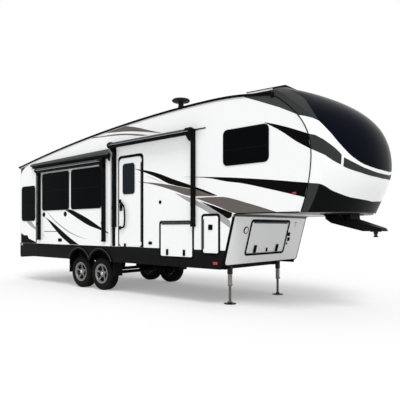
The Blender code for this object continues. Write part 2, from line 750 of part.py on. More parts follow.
def make_suspension(side, parent):
    """Both leaf springs of one side, hung on the equalizer between them by shackle links."""
    label = "right" if side < 0 else "left"
    y = side * SPRING_TRACK_HALF
    across = (y - SPRING_WIDTH / 2, y + SPRING_WIDTH / 2)
    middle = (REAR_AXLE_X + FRONT_AXLE_X) / 2
    reach = AXLE_SPACING / 2 - SPRING_HALF_SPAN
    pivot_z = SPRING_EYE_HEIGHT + 0.012
    beam = [(middle - reach - 0.02, pivot_z + 0.006), (middle, pivot_z + 0.034)]
    beam += [(middle + reach + 0.02, pivot_z + 0.006), (middle + reach, pivot_z - 0.022)]
    beam += [(middle, pivot_z - 0.018), (middle - reach, pivot_z - 0.022)]
    equalizer = prism(f"springs_{label}", "Y", beam, *across, STEEL, parent)
    pieces = []
    for index, axle_x in enumerate((REAR_AXLE_X, FRONT_AXLE_X)):
        for leaf in range(LEAF_COUNT):
            half_span = SPRING_HALF_SPAN - (0.0 if leaf == 0 else 0.05 + 0.06 * (leaf - 1))
            strip = leaf_strip(half_span, -leaf * LEAF_PITCH, LEAF_THICK)
            strip = [(axle_x + x, z) for x, z in strip]
            pieces.append(prism(f"leaf_{label}_{index}_{leaf}", "Y", strip, *across, STEEL, parent))
        for end in (-1, 1):
            eye = circle((axle_x + end * SPRING_HALF_SPAN, SPRING_EYE_HEIGHT), EYE_RADIUS, 12)
            pieces.append(prism(f"eye_{label}_{index}_{end}", "Y", eye, *across, STEEL, parent))
    return join(equalizer, *pieces)


def make_axle(label, axle_x, parent):
    """Axle tube with spring seats, U-bolts, backing plates and the spindles inside the hubs."""
    z = TYRE_RADIUS
    plate_y = WHEEL_TRACK_HALF - 0.055
    tube = rod(
        f"axle_{label}", (axle_x, -plate_y, z), (axle_x, plate_y, z), AXLE_TUBE_RADIUS, STEEL, parent, 14
    )
    pieces = []
    under = leaf_height(0) - LEAF_PACK - SEAT_GAP
    over = leaf_height(0) + SEAT_GAP
    for side in (-1, 1):
        y = side * SPRING_TRACK_HALF
        width = SPRING_WIDTH / 2 + 0.018
        seat = (axle_x - 0.045, axle_x + 0.045), (y - width, y + width), (z + 0.02, under)
        top = (axle_x - 0.045, axle_x + 0.045), (y - width, y + width), (over, over + 0.010)
        pieces.append(block(f"seat_{label}_{side}", *seat, STEEL, parent))
        pieces.append(block(f"bolt_plate_{label}_{side}", *top, STEEL, parent))
        for dx in (-0.032, 0.032):
            for dy in (-width + 0.008, width - 0.008):
                foot = (axle_x + dx, y + dy, z + 0.03)
                head = (axle_x + dx, y + dy, over + 0.022)
                name = f"bolt_{label}_{side}_{dx}_{dy}"
                pieces.append(rod(name, foot, head, 0.006, STEEL, parent, 6))
        inner, outer = side * (plate_y - 0.001), side * (plate_y + 0.004)
        tip = side * (WHEEL_TRACK_HALF + 0.049)
        # Outer end, radius and sides of the backing plate and of the spindle
        for kind, end, radius, sides in (("plate", outer, 0.152, 20), ("spindle", tip, SPINDLE_RADIUS, 24)):
            ends = (axle_x, inner, z), (axle_x, end, z)
            pieces.append(rod(f"{kind}_{label}_{side}", *ends, radius, STEEL, parent, sides))
    return join(tube, *pieces)


def make_wheel(name, place, side, shared, parent):
    """A tyre and its alloy rim on the axle's end. The first wheel's meshes serve the other three."""
    hub = pivot(f"hub_{name}", place, parent)
    if side > 0:
        hub.rotation_euler = (0, 0, math.pi)
    if not shared:
        shared["tyre"] = make_tyre(f"tyre_{name}", hub)
        shared["rim"] = make_rim(f"rim_{name}", hub)
        return
    for kind, first in shared.items():
        piece = bpy.data.objects.new(f"{kind}_{name}", first.data)
        bpy.context.scene.collection.objects.link(piece)
        piece.parent = hub
        for modifier in first.modifiers:
            copy = piece.modifiers.new(modifier.name, "BOOLEAN")
            copy.operation = modifier.operation
            copy.operand_type = "COLLECTION"
            copy.collection = wheel_cutters(f"{name}", hub)
            copy.solver = "EXACT"


def make_tyre(name, hub):
    flat = 1 / math.cos(math.pi / WHEEL_STEPS)
    half = TYRE_HALF_WIDTH
    bead = RIM_RADIUS + SEAT_GAP
    side_profile = ((bead, 0.100), (bead + 0.016, 0.100), (0.250, half), (0.300, half - 0.001))
    shoulder = ((0.342, half - 0.012), (TYRE_RADIUS * flat, half - 0.030))
    right = [(radius, -along) for radius, along in side_profile + shoulder]
    left = [(radius, along) for radius, along in reversed(side_profile + shoulder)]
    return revolve(name, right + left, WHEEL_STEPS, RUBBER, hub, closed=True)


def rim_profile():
    """Radius and distance along the axle, negative on the outer side: cap, dish, lip, barrel, drum."""
    outer = [(0.0, -0.104), (0.026, -0.104), (0.032, -0.082), (0.062, -0.080), (0.078, -0.066)]
    outer += [(0.160, -0.074), (0.183, -0.106), (0.2085, -0.106)]
    barrel = [(0.2085, -0.1003), (RIM_RADIUS, -0.1003), (RIM_RADIUS, 0.1003), (0.2085, 0.1003)]
    inner = [(0.2085, 0.106), (0.183, 0.106), (0.183, -0.062), (0.160, -0.050), (0.078, -0.042)]
    bore = SPINDLE_RADIUS / math.cos(math.pi / WHEEL_STEPS) + PIN_GAP
    drum = [(0.078, -0.020), (0.150, -0.020), (0.150, 0.045), (bore, 0.045), (bore, -0.050), (0.0, -0.050)]
    return outer + barrel + inner + drum


def wheel_cutters(label, hub):
    """Five openings between the spokes."""
    group = bpy.data.collections.new(f"spoke_gaps_{label}")
    for index in range(5):
        middle = 2 * math.pi * index / 5
        edge = [(radius, middle + spread) for radius, spread in SPOKE_GAP]
        edge += [(radius, middle - spread) for radius, spread in reversed(SPOKE_GAP)]
        outline = [(radius * math.sin(angle), radius * math.cos(angle)) for radius, angle in edge]
        gap = prism(f"spoke_gap_{label}_{index}", "Y", outline, -0.12, -0.030, ALLOY, hub)
        group.objects.link(as_helper(gap))
    return group


def make_rim(name, hub):
    rim = revolve(name, rim_profile(), WHEEL_STEPS, ALLOY, hub)
    gaps = rim.modifiers.new("spoke_gaps", "BOOLEAN")
    gaps.operation = "DIFFERENCE"
    gaps.operand_type = "COLLECTION"
    gaps.collection = wheel_cutters(name, hub)
    gaps.solver = "EXACT"
    return rim


# Pin box and landing legs


def make_pin_box(parent):
    """Tapered box under the bedroom deck: side view cut to shape, narrowed towards the kingpin."""
    top = DECK_UNDERSIDE - SEAT_GAP
    side_view = [
        (PIN_BOX_REAR, top), (PIN_BOX_NECK, top), (PIN_BOX_NECK + 0.01, 1.49),
        (PIN_BOX_TIP - 0.03, 1.345), (PIN_BOX_TIP, PIN_BOX_FLOOR), (PIN_X - 0.14, PIN_BOX_FLOOR),
        (PIN_BOX_REAR + 0.10, 1.43), (PIN_BOX_REAR, 1.50),
    ]
    box = prism("pin_box", "Y", side_view, -PIN_BOX_HALF, PIN_BOX_HALF, STEEL, parent)
    place = (PIN_BOX_REAR + 0.02, PIN_BOX_NECK - 0.02), (-PIN_BOX_WING, PIN_BOX_WING), (top - 0.012, top)
    wings = block("pin_box_wings", *place, STEEL, parent)
    ribs = []
    for index, x in enumerate((PIN_BOX_REAR + 0.06, PIN_BOX_NECK - 0.10)):
        for side in (-1, 1):
            root, tip = side * (PIN_BOX_HALF - 0.01), side * (PIN_BOX_WING - 0.02)
            gusset = [(root, top - 0.006), (tip, top - 0.006), (root, 1.46)]
            ribs.append(prism(f"gusset_{index}_{side}", "X", gusset, x, x + 0.012, STEEL, parent))
    trims = []
    clear_half, beyond = PIN_BOX_HALF + 0.01, PIN_BOX_TIP + 0.02
    for side in (-1, 1):
        taper = [(PIN_BOX_NECK + 0.04, side * clear_half), (beyond, side * clear_half)]
        taper.append((beyond, side * 0.125))
        trims.append(prism(f"pin_box_taper_{side}", "Z", taper, 1.2, 1.56, STEEL, parent))
    join(box, wings, *ribs)
    return cut(box, *trims)


def make_kingpin(parent):
    profile = [
        (0.0, PIN_FOOT), (0.036, PIN_FOOT), (0.036, PIN_FOOT + 0.018), (PIN_RADIUS, PIN_FOOT + 0.022),
        (PIN_RADIUS, PIN_FOOT + 0.050), (0.036, PIN_FOOT + 0.054), (0.036, PIN_BOX_FLOOR - 0.010),
        (0.085, PIN_BOX_FLOOR - 0.010), (0.085, PIN_BOX_FLOOR - SEAT_GAP), (0.0, PIN_BOX_FLOOR - SEAT_GAP),
    ]
    carrier = pivot("kingpin_axis", (PIN_X, 0, 0), parent)
    carrier.rotation_euler = (math.pi / 2, 0, 0)
    return revolve("kingpin", profile, 20, STEEL, carrier)


def make_leg(side, parent):
    """Landing leg on the front sill: outer tube, drop tube with its pin, stem and foot pad."""
    label = "right" if side < 0 else "left"
    x = RAIL_END + SILL_DEPTH + SEAT_GAP + LEG_OUTER / 2
    y = side * SPRING_TRACK_HALF
    outer = rounded((x - LEG_OUTER / 2, x + LEG_OUTER / 2, y - LEG_OUTER / 2, y + LEG_OUTER / 2), 0.008, 1)
    leg = prism(f"landing_leg_{label}", "Z", outer, LEG_SPLIT, RAIL_TOP, STEEL, parent)
    drop = rounded((x - LEG_DROP / 2, x + LEG_DROP / 2, y - LEG_DROP / 2, y + LEG_DROP / 2), 0.006, 1)
    pieces = [prism(f"leg_drop_{label}", "Z", drop, LEG_PIN - 0.025, LEG_SPLIT + 0.01, ZINC, parent)]
    # Foot, head, radius and sides of each round piece
    rounds = {
        "stem": (0.004, LEG_PIN, LEG_STEM / 2, 12),
        "collar": (PAD_THICK / 2, 0.045, LEG_STEM * 0.8, 12),
        "pad": (0.0, PAD_THICK, PAD_RADIUS, 20),
    }
    for piece, (low, high, radius, sides) in rounds.items():
        pieces.append(rod(f"leg_{piece}_{label}", (x, y, low), (x, y, high), radius, ZINC, parent, sides))
    pin = (x, y, LEG_PIN), (x + 0.055, y, LEG_PIN)
    pieces.append(rod(f"leg_pin_{label}", *pin, 0.012, ZINC, parent, 8))
    return join(leg, *pieces)


# Windows and doors


def make_window(name, axis, side, opening, face, parent, offset=(0.0, 0.0), depth=0.03):
    """Tinted pane with a lip over the outer face and a plug in the opening."""
    lip = shifted(rounded(opening, WINDOW_CORNER, 3, WINDOW_LIP), offset)
    plug = shifted(rounded(opening, WINDOW_CORNER, 3, -SEAT_GAP), offset)
    seat = face + side * SEAT_GAP
    layers = ((lip, seat + side * WINDOW_PROUD), (lip, seat), (plug, seat), (plug, face - side * depth))
    loops = [[in_plane(axis, p, level) for p in edge] for edge, level in layers]
    return stack(name, loops, GLASS, parent)


def inside(opening):
    """Edge of a door that clears its opening all round."""
    gap = RUNNING_GAP
    return opening[0] + gap, opening[1] - gap, opening[2] + gap, opening[3] - gap


def make_side_door(name, side, opening, hinge, latches, parent):
    """A compartment door whose hinge barrel lies outside the wall, along its head or its rear edge.

    Latches are given as (share of the width, share of the height, width, height, rise)."""
    face = side * OUTER_FACE
    axis_y = side * (OUTER_FACE + BARREL_RADIUS + PIN_GAP)
    leaf = inside(opening)
    if hinge == "head":
        place = ((opening[0] + opening[1]) / 2, axis_y, opening[3])
        ends = ((leaf[0] + 0.03, 0, 0), (leaf[1] - 0.03, 0, 0))
        ends = [(x - place[0], 0, 0) for x, _, _ in ends]
    else:
        place = (opening[0], axis_y, (opening[2] + opening[3]) / 2)
        ends = [(0, 0, z - place[2]) for z in (leaf[2] + 0.07, leaf[3] - 0.05)]
    carrier = pivot(f"{name}_hinge", place, parent)
    outline = shifted(rounded(leaf, DOOR_CORNER, 3), (place[0], place[2]))
    y = sorted((face - axis_y, face - axis_y - side * DOOR_THICK))
    door = prism(name, "Y", outline, *y, WHITE, carrier)
    barrel = rod(f"{name}_barrel", *ends, BARREL_RADIUS, BLACK, carrier, 12)
    if hinge == "head":
        section = [(side * out, -along) for along, out in STRAP]
        strap = prism(f"{name}_strap", "X", section, ends[0][0], ends[1][0], BLACK, carrier)
    else:
        section = [(along, side * out) for along, out in STRAP]
        strap = prism(f"{name}_strap", "Z", section, ends[0][2], ends[1][2], BLACK, carrier)
    plates = []
    for index, (across, up, width, height, rise) in enumerate(latches):
        x = leaf[0] + across * (leaf[1] - leaf[0]) - place[0]
        z = leaf[2] + up * (leaf[3] - leaf[2]) - place[2]
        out = sorted((face - axis_y - side * LATCH_ROOT, face - axis_y + side * rise))
        size = (x - width / 2, x + width / 2), out, (z - height / 2, z + height / 2)
        plates.append(block(f"{name}_latch_{index}", *size, BLACK, carrier))
    return join(door, barrel, strap, *plates)


def hinge_strip(name, side, opening, hinge, rise, parent):
    """The fixed leaf on the wall, which the barrel turns against; rise is its height over the wall."""
    y = sorted((side * (HALF_WIDTH - 0.01), side * (HALF_WIDTH + rise)))
    reach = BARREL_RADIUS + PIN_GAP
    if hinge == "head":
        x, z = (opening[0] + 0.04, opening[1] - 0.04), (opening[3] + reach, opening[3] + 0.03)
    elif hinge == "rear":
        x, z = (opening[0] - 0.03, opening[0] - reach), (opening[2] + 0.06, opening[3] - 0.06)
    else:
        x, z = (opening[1] + reach, opening[1] + 0.03), (opening[2] + 0.06, opening[3] - 0.06)
    return block(name, x, y, z, BLACK, parent)


def make_entry_door(parent):
    """Entry door hung on its front edge, with its window and the folded grab handle."""
    face = -HALF_WIDTH
    axis = (ENTRY_OPENING[1], face - BARREL_RADIUS - PIN_GAP, (ENTRY_OPENING[2] + ENTRY_OPENING[3]) / 2)
    carrier = pivot("entry_door_hinge", axis, parent)
    offset = (axis[0], axis[2])
    leaf = inside(ENTRY_OPENING)
    outline = shifted(rounded(leaf, ENTRY_CORNER, 4), offset)
    door = prism("entry_door", "Y", outline, face - axis[1], face - axis[1] + DOOR_THICK, WHITE, carrier)
    low, high = leaf[2] + 0.10 - axis[2], leaf[3] - 0.12 - axis[2]
    barrel = rod("entry_barrel", (0, 0, low), (0, 0, high), BARREL_RADIUS, BLACK, carrier, 12)
    section = [(-along, -out) for along, out in STRAP]
    strap = prism("entry_strap", "Z", section, low, high, BLACK, carrier)
    lock = block("entry_lock", (-0.655, -0.585), (BARREL_RADIUS - 0.012, BARREL_RADIUS + 0.002),
                 (1.72 - axis[2], 1.86 - axis[2]), BLACK, carrier)
    window_hole = shifted(rounded(ENTRY_WINDOW, WINDOW_CORNER, 3), offset)
    join(door, barrel, strap, lock)
    cut(door, prism("entry_window_hole", "Y", window_hole, -0.05, 0.15, WHITE, carrier))
    make_window("entry_door_window", "Y", -1, ENTRY_WINDOW, face - axis[1], carrier, offset)
    make_grab_handle(axis, face, carrier)
    return carrier


def make_grab_handle(axis, face, carrier):
    """Folded grab handle: a bowed tube between two feet on the door's lock side."""
    foot_x = ENTRY_OPENING[0] + 0.04
    seat = face - SEAT_GAP
    low, high = HANDLE_SPAN
    # Distance from the foot along the door, height
    bow = ((0.0, low), (0.13, low + 0.01), (0.16, low + 0.06))
    bow += ((0.16, high - 0.16), (0.05, high - 0.01), (0.0, high))
    points = [(foot_x, seat, low)] + [(foot_x + along, face - HANDLE_STAND, z) for along, z in bow]
    points.append((foot_x, seat, high))
    curve = bpy.data.curves.new("grab_handle", "CURVE")
    curve.dimensions = "3D"
    curve.bevel_depth = HANDLE_TUBE
    curve.bevel_resolution = 1
    curve.use_fill_caps = True
    line = curve.splines.new("POLY")
    line.points.add(len(points) - 1)
    for spot, point in zip(line.points, points):
        spot.co = (*(Vector(point) - Vector(axis)), 1.0)
    return attach(bpy.data.objects.new("grab_handle", curve), BLACK, carrier)


def make_front_hatch(slope):
    """Hatch in the gooseneck panel, hinged along its head."""
    axis = (BARREL_RADIUS + PIN_GAP, (HATCH_OPENING[0] + HATCH_OPENING[1]) / 2, HATCH_OPENING[3])
    carrier = pivot("front_hatch_hinge", axis, slope)
    leaf = inside(HATCH_OPENING)
    outline = shifted(rounded(leaf, DOOR_CORNER, 3), (axis[1], axis[2]))
    hatch = prism("front_hatch", "X", outline, -axis[0] - PANEL_THICK + 0.003, -axis[0], PALE_GREY, carrier)
    half = (leaf[1] - leaf[0]) / 2 - 0.05
    barrel = rod("hatch_barrel", (0, -half, 0), (0, half, 0), BARREL_RADIUS, BLACK, carrier, 12)
    section = [(out, -along) for along, out in STRAP]
    strap = prism("hatch_strap", "Y", section, -half, half, BLACK, carrier)
    plates = []
    for index, (across, up, width, height, rise) in enumerate(HATCH_LATCHES):
        y = leaf[0] + across * (leaf[1] - leaf[0]) - axis[1]
        z = leaf[2] + up * (leaf[3] - leaf[2]) - axis[2]
        out = (-axis[0] - LATCH_ROOT, -axis[0] + rise)
        size = out, (y - width / 2, y + width / 2), (z - height / 2, z + height / 2)
        plates.append(block(f"hatch_latch_{index}", *size, BLACK, carrier))
    return join(hatch, barrel, strap, *plates)


# Slide-out room and its awnings


def make_slide_room(parent):
    """Room box open to the cabin, behind a fascia that laps the wall."""
    lap = -FASCIA_LAP
    face = lap - FASCIA_THICK
    carrier = pivot("slide_room_path", (0, 0, 0), parent)
    fascia = prism("slide_room", "Y", rounded(FASCIA, 0.02, 2), face, lap, WHITE, carrier)
    box = [SLIDE_OPENING[0] + RUNNING_GAP, SLIDE_OPENING[1] - RUNNING_GAP]
    height = (SLIDE_OPENING[2] + RUNNING_GAP, SLIDE_OPENING[3] - RUNNING_GAP)
    shell = block("slide_shell", box, (face + 0.005, lap + SLIDE_DEPTH), height, WHITE, carrier)
    join(fascia, shell)
    hollow = block(
        "slide_hollow",
        (box[0] + SLIDE_SHELL, box[1] - SLIDE_SHELL),
        (lap + 0.01, lap + SLIDE_DEPTH + 0.1),
        (height[0] + SLIDE_SHELL, height[1] - SLIDE_SHELL),
        WHITE,
        carrier,
    )
    holes = []
    for label, opening in SLIDE_WINDOWS.items():
        outline = rounded(opening, WINDOW_CORNER, 3)
        holes.append(prism(f"slide_hole_{label}", "Y", outline, face - 0.05, lap + 0.05, WHITE, carrier))
    cut(fascia, hollow, *holes)
    for label, opening in SLIDE_WINDOWS.items():
        make_window(f"slide_window_{label}", "Y", -1, opening, face, carrier)
    make_slide_awning(face, carrier)
    make_topper(face, carrier)
    return carrier


def channel_arm(name, x, face, foot, head, lean, parent):
    """An awning arm: a folded channel from its foot on the wall up to the roller's head."""
    half = ARM_WIDTH / 2
    side_view = [(face, foot), (face - 0.035, foot), (face - lean, head - 0.05)]
    side_view += [(face - lean + 0.01, head + 0.03), (face, head + 0.03)]
    return prism(name, "X", side_view, x - half, x + half, BLACK, parent)


def make_roller(name, x0, x1, y, z, radius, material, parent):
    return rod(name, (x0, y, z), (x1, y, z), radius, material, parent, ROLLER_SIDES)


def make_slide_awning(face, parent):
    """Awning on the slide room's face: two folded arms and the roller between them."""
    x0, x1, z = SLIDE_AWNING
    seat = face - SEAT_GAP
    ends = (x0 + 0.02, x1 - 0.02)
    roller = make_roller(
        "slide_awning", *ends, face - SLIDE_AWNING_STAND, z, SLIDE_ROLLER_RADIUS, SHROUD, parent
    )
    arms = [
        channel_arm(f"slide_arm_{index}", x, seat, SLIDE_ARM_FOOT, z, 0.115, parent)
        for index, x in enumerate((x0 + ARM_WIDTH / 2, x1 - ARM_WIDTH / 2))
    ]
    return join(roller, *arms)


def make_topper(face, parent):
    """Rolled slide topper over the slide room's head, on a bracket at each end."""
    z = FASCIA[3] + TOPPER_RADIUS + TOPPER_LIFT
    y = face - 0.012
    ends = (FASCIA[0] + 0.04, FASCIA[1] - 0.006)
    roll_ends = (ends[0] - TOPPER_OVERHANG, ends[1])
    roll = make_roller("slide_topper", *roll_ends, y, z, TOPPER_RADIUS, SHROUD, parent)
    brackets = []
    for index, x in enumerate(ends):
        x0 = x - 0.002 if index == 0 else x - 0.010
        plate = (x0, x0 + 0.012), (face - 0.055, face - SEAT_GAP), (FASCIA[3] - 0.09, z + 0.02)
        brackets.append(block(f"topper_bracket_{index}", *plate, BLACK, parent))
    return join(roll, *brackets)


def make_patio_awning(parent):
    """Awning over the entry door: arms that lean out to the roller."""
    x0, x1, z = PATIO_AWNING
    seat = -HALF_WIDTH - SEAT_GAP
    ends = (x0 - 0.02, x1 + 0.03)
    roller = make_roller(
        "patio_awning", *ends, seat - PATIO_AWNING_STAND, z, PATIO_ROLLER_RADIUS, SHROUD, parent
    )
    arms = [
        channel_arm(f"patio_arm_{index}", x, seat, ARM_FOOT, z, 0.15, parent)
        for index, x in enumerate((x0 + ARM_WIDTH / 2, x1 - ARM_WIDTH / 2))
    ]
    return join(roller, *arms)


# Roof equipment and ladder


def roof_seat(outline):
    """Lowest height at which a flat base clears the faceted, cambered roof."""
    steps = range(12)
    spots = []
    for (x0, y0), (x1, y1) in zip(outline, outline[1:] + outline[:1]):
        spots += [(x0 + (x1 - x0) * step / 12, y0 + (y1 - y0) * step / 12) for step in steps]
    xs, ys = [p[0] for p in outline], [p[1] for p in outline]
    if min(ys) < 0 < max(ys):
        spots += [(x, 0.0) for x in (min(xs), max(xs), *roof_stations()) if min(xs) <= x <= max(xs)]
    return max(roof_line(x) + camber_line(y) for x, y in spots) + SEAT_GAP


def roof_line(x):
    """The faceted roof's height between its stations."""
    step = ROOF_END / ROOF_STEPS
    index = max(0, min(int(x / step), ROOF_STEPS - 1))
    share = x / step - index
    return roof_height(index * step) * (1 - share) + roof_height((index + 1) * step) * share


def camber_line(y):
    step = 2 * HALF_WIDTH / CAMBER_STEPS
    index = max(0, min(int((y + HALF_WIDTH) / step), CAMBER_STEPS - 1))
    share = (y + HALF_WIDTH) / step - index
    low = -HALF_WIDTH + index * step
    return camber(low) * (1 - share) + camber(low + step) * share


def make_cooler(parent):
    """Rooftop air conditioner shroud, lower at its front."""
    x0, x1, half, height = COOLER
    foot = roof_seat(rounded((x0, x1, -half, half), 0.08, 3, -0.02))
    levels = ((0.0, -0.02), (0.05, -0.02), (0.05, 0.0), (0.16, 0.0), (0.24, -0.03), (height, -0.09))
    loops = []
    for rise, grow in levels:
        edge = rounded((x0, x1, -half, half), 0.08, 3, grow)
        loops.append([Vector((x, y, foot + rise - 0.05 * (x - x0) * (rise > 0.2))) for x, y in edge])
    return stack("air_conditioner", loops, SHROUD, parent, smooth=True)


def make_aerial(parent):
    """Round television aerial on its short mast."""
    x, y = AERIAL
    foot = roof_seat(circle((x, y), 0.080, 18))
    mast = ((0.0, 0.0), (0.080, 0.0), (0.076, 0.020), (0.055, 0.050), (0.050, 0.155))
    disc = ((0.090, 0.160), (0.160, 0.172), (0.176, 0.190), (0.160, 0.215), (0.090, 0.232), (0.0, 0.236))
    profile = [(radius, foot + rise) for radius, rise in mast + disc]
    carrier = pivot("aerial_axis", (x, y, 0), parent)
    carrier.rotation_euler = (math.pi / 2, 0, 0)
    return revolve("tv_aerial", profile, 18, SHROUD, carrier)


def make_vent(name, place, parent):
    """Roof vent: a low curb under a crowned lid."""
    x, y = place
    foot = roof_seat(rounded((x - 0.18, x + 0.18, y - 0.18, y + 0.18), 0.03, 2))
    levels = ((0.0, 0.18), (0.045, 0.18), (0.045, 0.205), (0.075, 0.205), (0.110, 0.15))
    loops = []
    for rise, half in levels:
        edge = rounded((x - half, x + half, y - half, y + half), 0.03, 2)
        loops.append([Vector((px, py, foot + rise)) for px, py in edge])
    return stack(name, loops, MEMBRANE, parent)


def make_ladder(parent):
    """Tube ladder on the rear wall, with its rungs and the stays that hold it off the wall."""
    stand = -LADDER_STAND
    low, high = LADDER_FOOT, roof_height(0) - 0.12
    edges = [LADDER_CENTRE + side * LADDER_HALF_WIDTH for side in (-1, 1)]
    # Name, one end, other end, radius, sides
    bars = []
    for side, y in enumerate(edges):
        bars.append((f"ladder_rail_{side}", (stand, y, low), (stand, y, high), LADDER_TUBE, LADDER_SIDES))
        for index, z in enumerate((low + 0.10, (low + high) / 2, high - 0.05)):
            bars.append((f"ladder_stay_{side}_{index}", (stand, y, z), (-SEAT_GAP, y, z), 0.009, 6))
    for index in range(RUNG_COUNT):
        z = low + 0.04 + (high - low - 0.08) * index / (RUNG_COUNT - 1)
        bars.append((f"rung_{index}", (stand, edges[0], z), (stand, edges[1], z), 0.011, 6))
    ladder, *rest = [rod(name, *ends, radius, ALLOY, parent, sides) for name, *ends, radius, sides in bars]
    ladder.name = "rear_ladder"
    return join(ladder, *rest)


def build():
    middle = ((OVERALL_REAR + OVERALL_FRONT) / 2, (OVERALL_RIGHT + OVERALL_LEFT) / 2)
    datum = pivot("ground_datum", (-middle[0], -middle[1], 0), None)
    openings = {
        "rear_window": (REAR_WINDOW, WINDOW_CORNER),
        "slide": (SLIDE_OPENING, 0.005),
        "entry": (ENTRY_OPENING, ENTRY_CORNER),
        "baggage": (BAGGAGE_OPENING, DOOR_CORNER),
        "utility": (UTILITY_OPENING, DOOR_CORNER),
        "bed_window": (BED_WINDOW, WINDOW_CORNER),
    }
    right = make_wall(-1, openings, datum)
    join(
        right,
        hinge_strip("entry_strip", -1, ENTRY_OPENING, "front", ENTRY_LEAF, datum),
        hinge_strip("baggage_strip_right", -1, BAGGAGE_OPENING, "head", HATCH_LEAF, datum),
        hinge_strip("utility_strip", -1, UTILITY_OPENING, "rear", HATCH_LEAF, datum),
    )
    left = make_wall(
        1,
        {
            "living": (LIVING_WINDOW, WINDOW_CORNER),
            "galley": (GALLEY_WINDOW, WINDOW_CORNER),
            "baggage": (BAGGAGE_OPENING, DOOR_CORNER),
            "bed_window": (BED_WINDOW, WINDOW_CORNER),
        },
        datum,
    )
    join(left, hinge_strip("baggage_strip_left", 1, BAGGAGE_OPENING, "head", HATCH_LEAF, datum))
    make_rear_wall(datum)
    make_roof(datum)
    make_floor(datum)
    make_deck(datum)
    slope = slope_frame(datum)
    make_front_panel(slope)
    make_cap(datum)
    make_skirt(-1, {"baggage": BAGGAGE_OPENING, "utility": UTILITY_OPENING}, datum)
    make_skirt(1, {"baggage": BAGGAGE_OPENING}, datum)
    make_belly(datum)
    make_sill(datum)
    make_bumper(datum)
    shared = {}
    for side, side_name in ((-1, "right"), (1, "left")):
        make_rail(side, datum)
        make_suspension(side, datum)
        make_leg(side, datum)
        for axle_name, axle_x in (("rear", REAR_AXLE_X), ("front", FRONT_AXLE_X)):
            place = (axle_x, side * WHEEL_TRACK_HALF, TYRE_RADIUS)
            make_wheel(f"{side_name}_{axle_name}", place, side, shared, datum)
    make_axle("rear", REAR_AXLE_X, datum)
    make_axle("front", FRONT_AXLE_X, datum)
    make_pin_box(datum)
    make_kingpin(datum)
    make_window("rear_side_window", "Y", -1, REAR_WINDOW, -HALF_WIDTH, datum)
    make_window("bedroom_window_right", "Y", -1, BED_WINDOW, -HALF_WIDTH, datum)
    make_window("bedroom_window_left", "Y", 1, BED_WINDOW, HALF_WIDTH, datum)
    make_window("living_window", "Y", 1, LIVING_WINDOW, HALF_WIDTH, datum)
    make_window("galley_window", "Y", 1, GALLEY_WINDOW, HALF_WIDTH, datum)
    make_window("tail_window", "X", -1, TAIL_WINDOW, 0.0, datum)
    make_entry_door(datum)
    make_side_door("baggage_door_right", -1, BAGGAGE_OPENING, "head", BAGGAGE_LATCHES, datum)
    make_side_door("utility_door", -1, UTILITY_OPENING, "rear", UTILITY_LATCHES, datum)
    make_side_door("baggage_door_left", 1, BAGGAGE_OPENING, "head", BAGGAGE_LATCHES, datum)
    make_front_hatch(slope)
    make_slide_room(datum)
    make_patio_awning(datum)
    make_cooler(datum)
    make_aerial(datum)
    for name, place in VENTS.items():
        make_vent(name, place, datum)
    make_ladder(datum)


build()
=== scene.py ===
import math

import bpy
from mathutils import Matrix, Vector


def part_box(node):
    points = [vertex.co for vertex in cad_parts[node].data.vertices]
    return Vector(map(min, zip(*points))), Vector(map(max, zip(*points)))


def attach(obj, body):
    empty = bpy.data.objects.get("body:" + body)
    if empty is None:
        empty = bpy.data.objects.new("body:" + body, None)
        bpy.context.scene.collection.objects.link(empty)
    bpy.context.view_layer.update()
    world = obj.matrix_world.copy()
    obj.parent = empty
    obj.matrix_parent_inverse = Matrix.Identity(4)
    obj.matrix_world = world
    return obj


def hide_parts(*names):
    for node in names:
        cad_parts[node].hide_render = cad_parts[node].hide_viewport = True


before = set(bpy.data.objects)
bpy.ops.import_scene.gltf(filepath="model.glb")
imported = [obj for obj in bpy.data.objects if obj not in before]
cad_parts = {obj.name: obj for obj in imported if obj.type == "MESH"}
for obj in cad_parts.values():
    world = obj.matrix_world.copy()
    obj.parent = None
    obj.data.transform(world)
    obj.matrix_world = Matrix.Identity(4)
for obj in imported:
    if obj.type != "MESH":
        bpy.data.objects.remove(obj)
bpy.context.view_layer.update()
print("frame loaded", len(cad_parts), "nodes")

# Places are written from the rear wall forward, from the centreline, and from the ground up
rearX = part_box("rear_wall")[0].x
midY = (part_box("roof")[0].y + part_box("roof")[1].y) / 2
halfWidth = 1.22
outerFace = 1.2263
fasciaFace = 1.26737
deckLength = 6.94


def at(x, y, z):
    return Vector((x + rearX, y + midY, z))


# Camera, lights, floor and background

view = {"place": (11.593, -7.508, 1.340), "turn": 40.74, "lens": 42.54, "shiftUp": 0.071}
light = {
    "sky": 0.62, "sun": 1.62, "sunSpread": 26.0, "sunTilt": (36.0, 0.0, 50.0),
    "fill": 0.42, "fillSpread": 60.0, "fillTilt": (68.0, 0.0, 20.0),
}
# The floor's tone where it only gives light and where it is seen, and its glow there
ground = {"size": 400, "lit": (0.80, 0.80, 0.80, 1), "seen": (0.66, 0.66, 0.66, 1), "glow": 0.30}

viewTurn = math.radians(view["turn"])
bpy.ops.object.camera_add(location=at(*view["place"]), rotation=(math.radians(90), 0, viewTurn))
camera = bpy.context.object
camera.data.sensor_width = 36
camera.data.lens = view["lens"]
camera.data.shift_y = view["shiftUp"]
camera.data.clip_end = 400
bpy.context.scene.camera = camera
bpy.context.scene.view_settings.view_transform = "Standard"


def mathNode(tree, operation, first, second, clamp=False):
    node = tree.nodes.new("ShaderNodeMath")
    node.operation = operation
    node.use_clamp = clamp
    for socket, value in zip(node.inputs, (first, second)):
        if isinstance(value, (int, float)):
            socket.default_value = value
        else:
            tree.links.new(value, socket)
    return node.outputs[0]


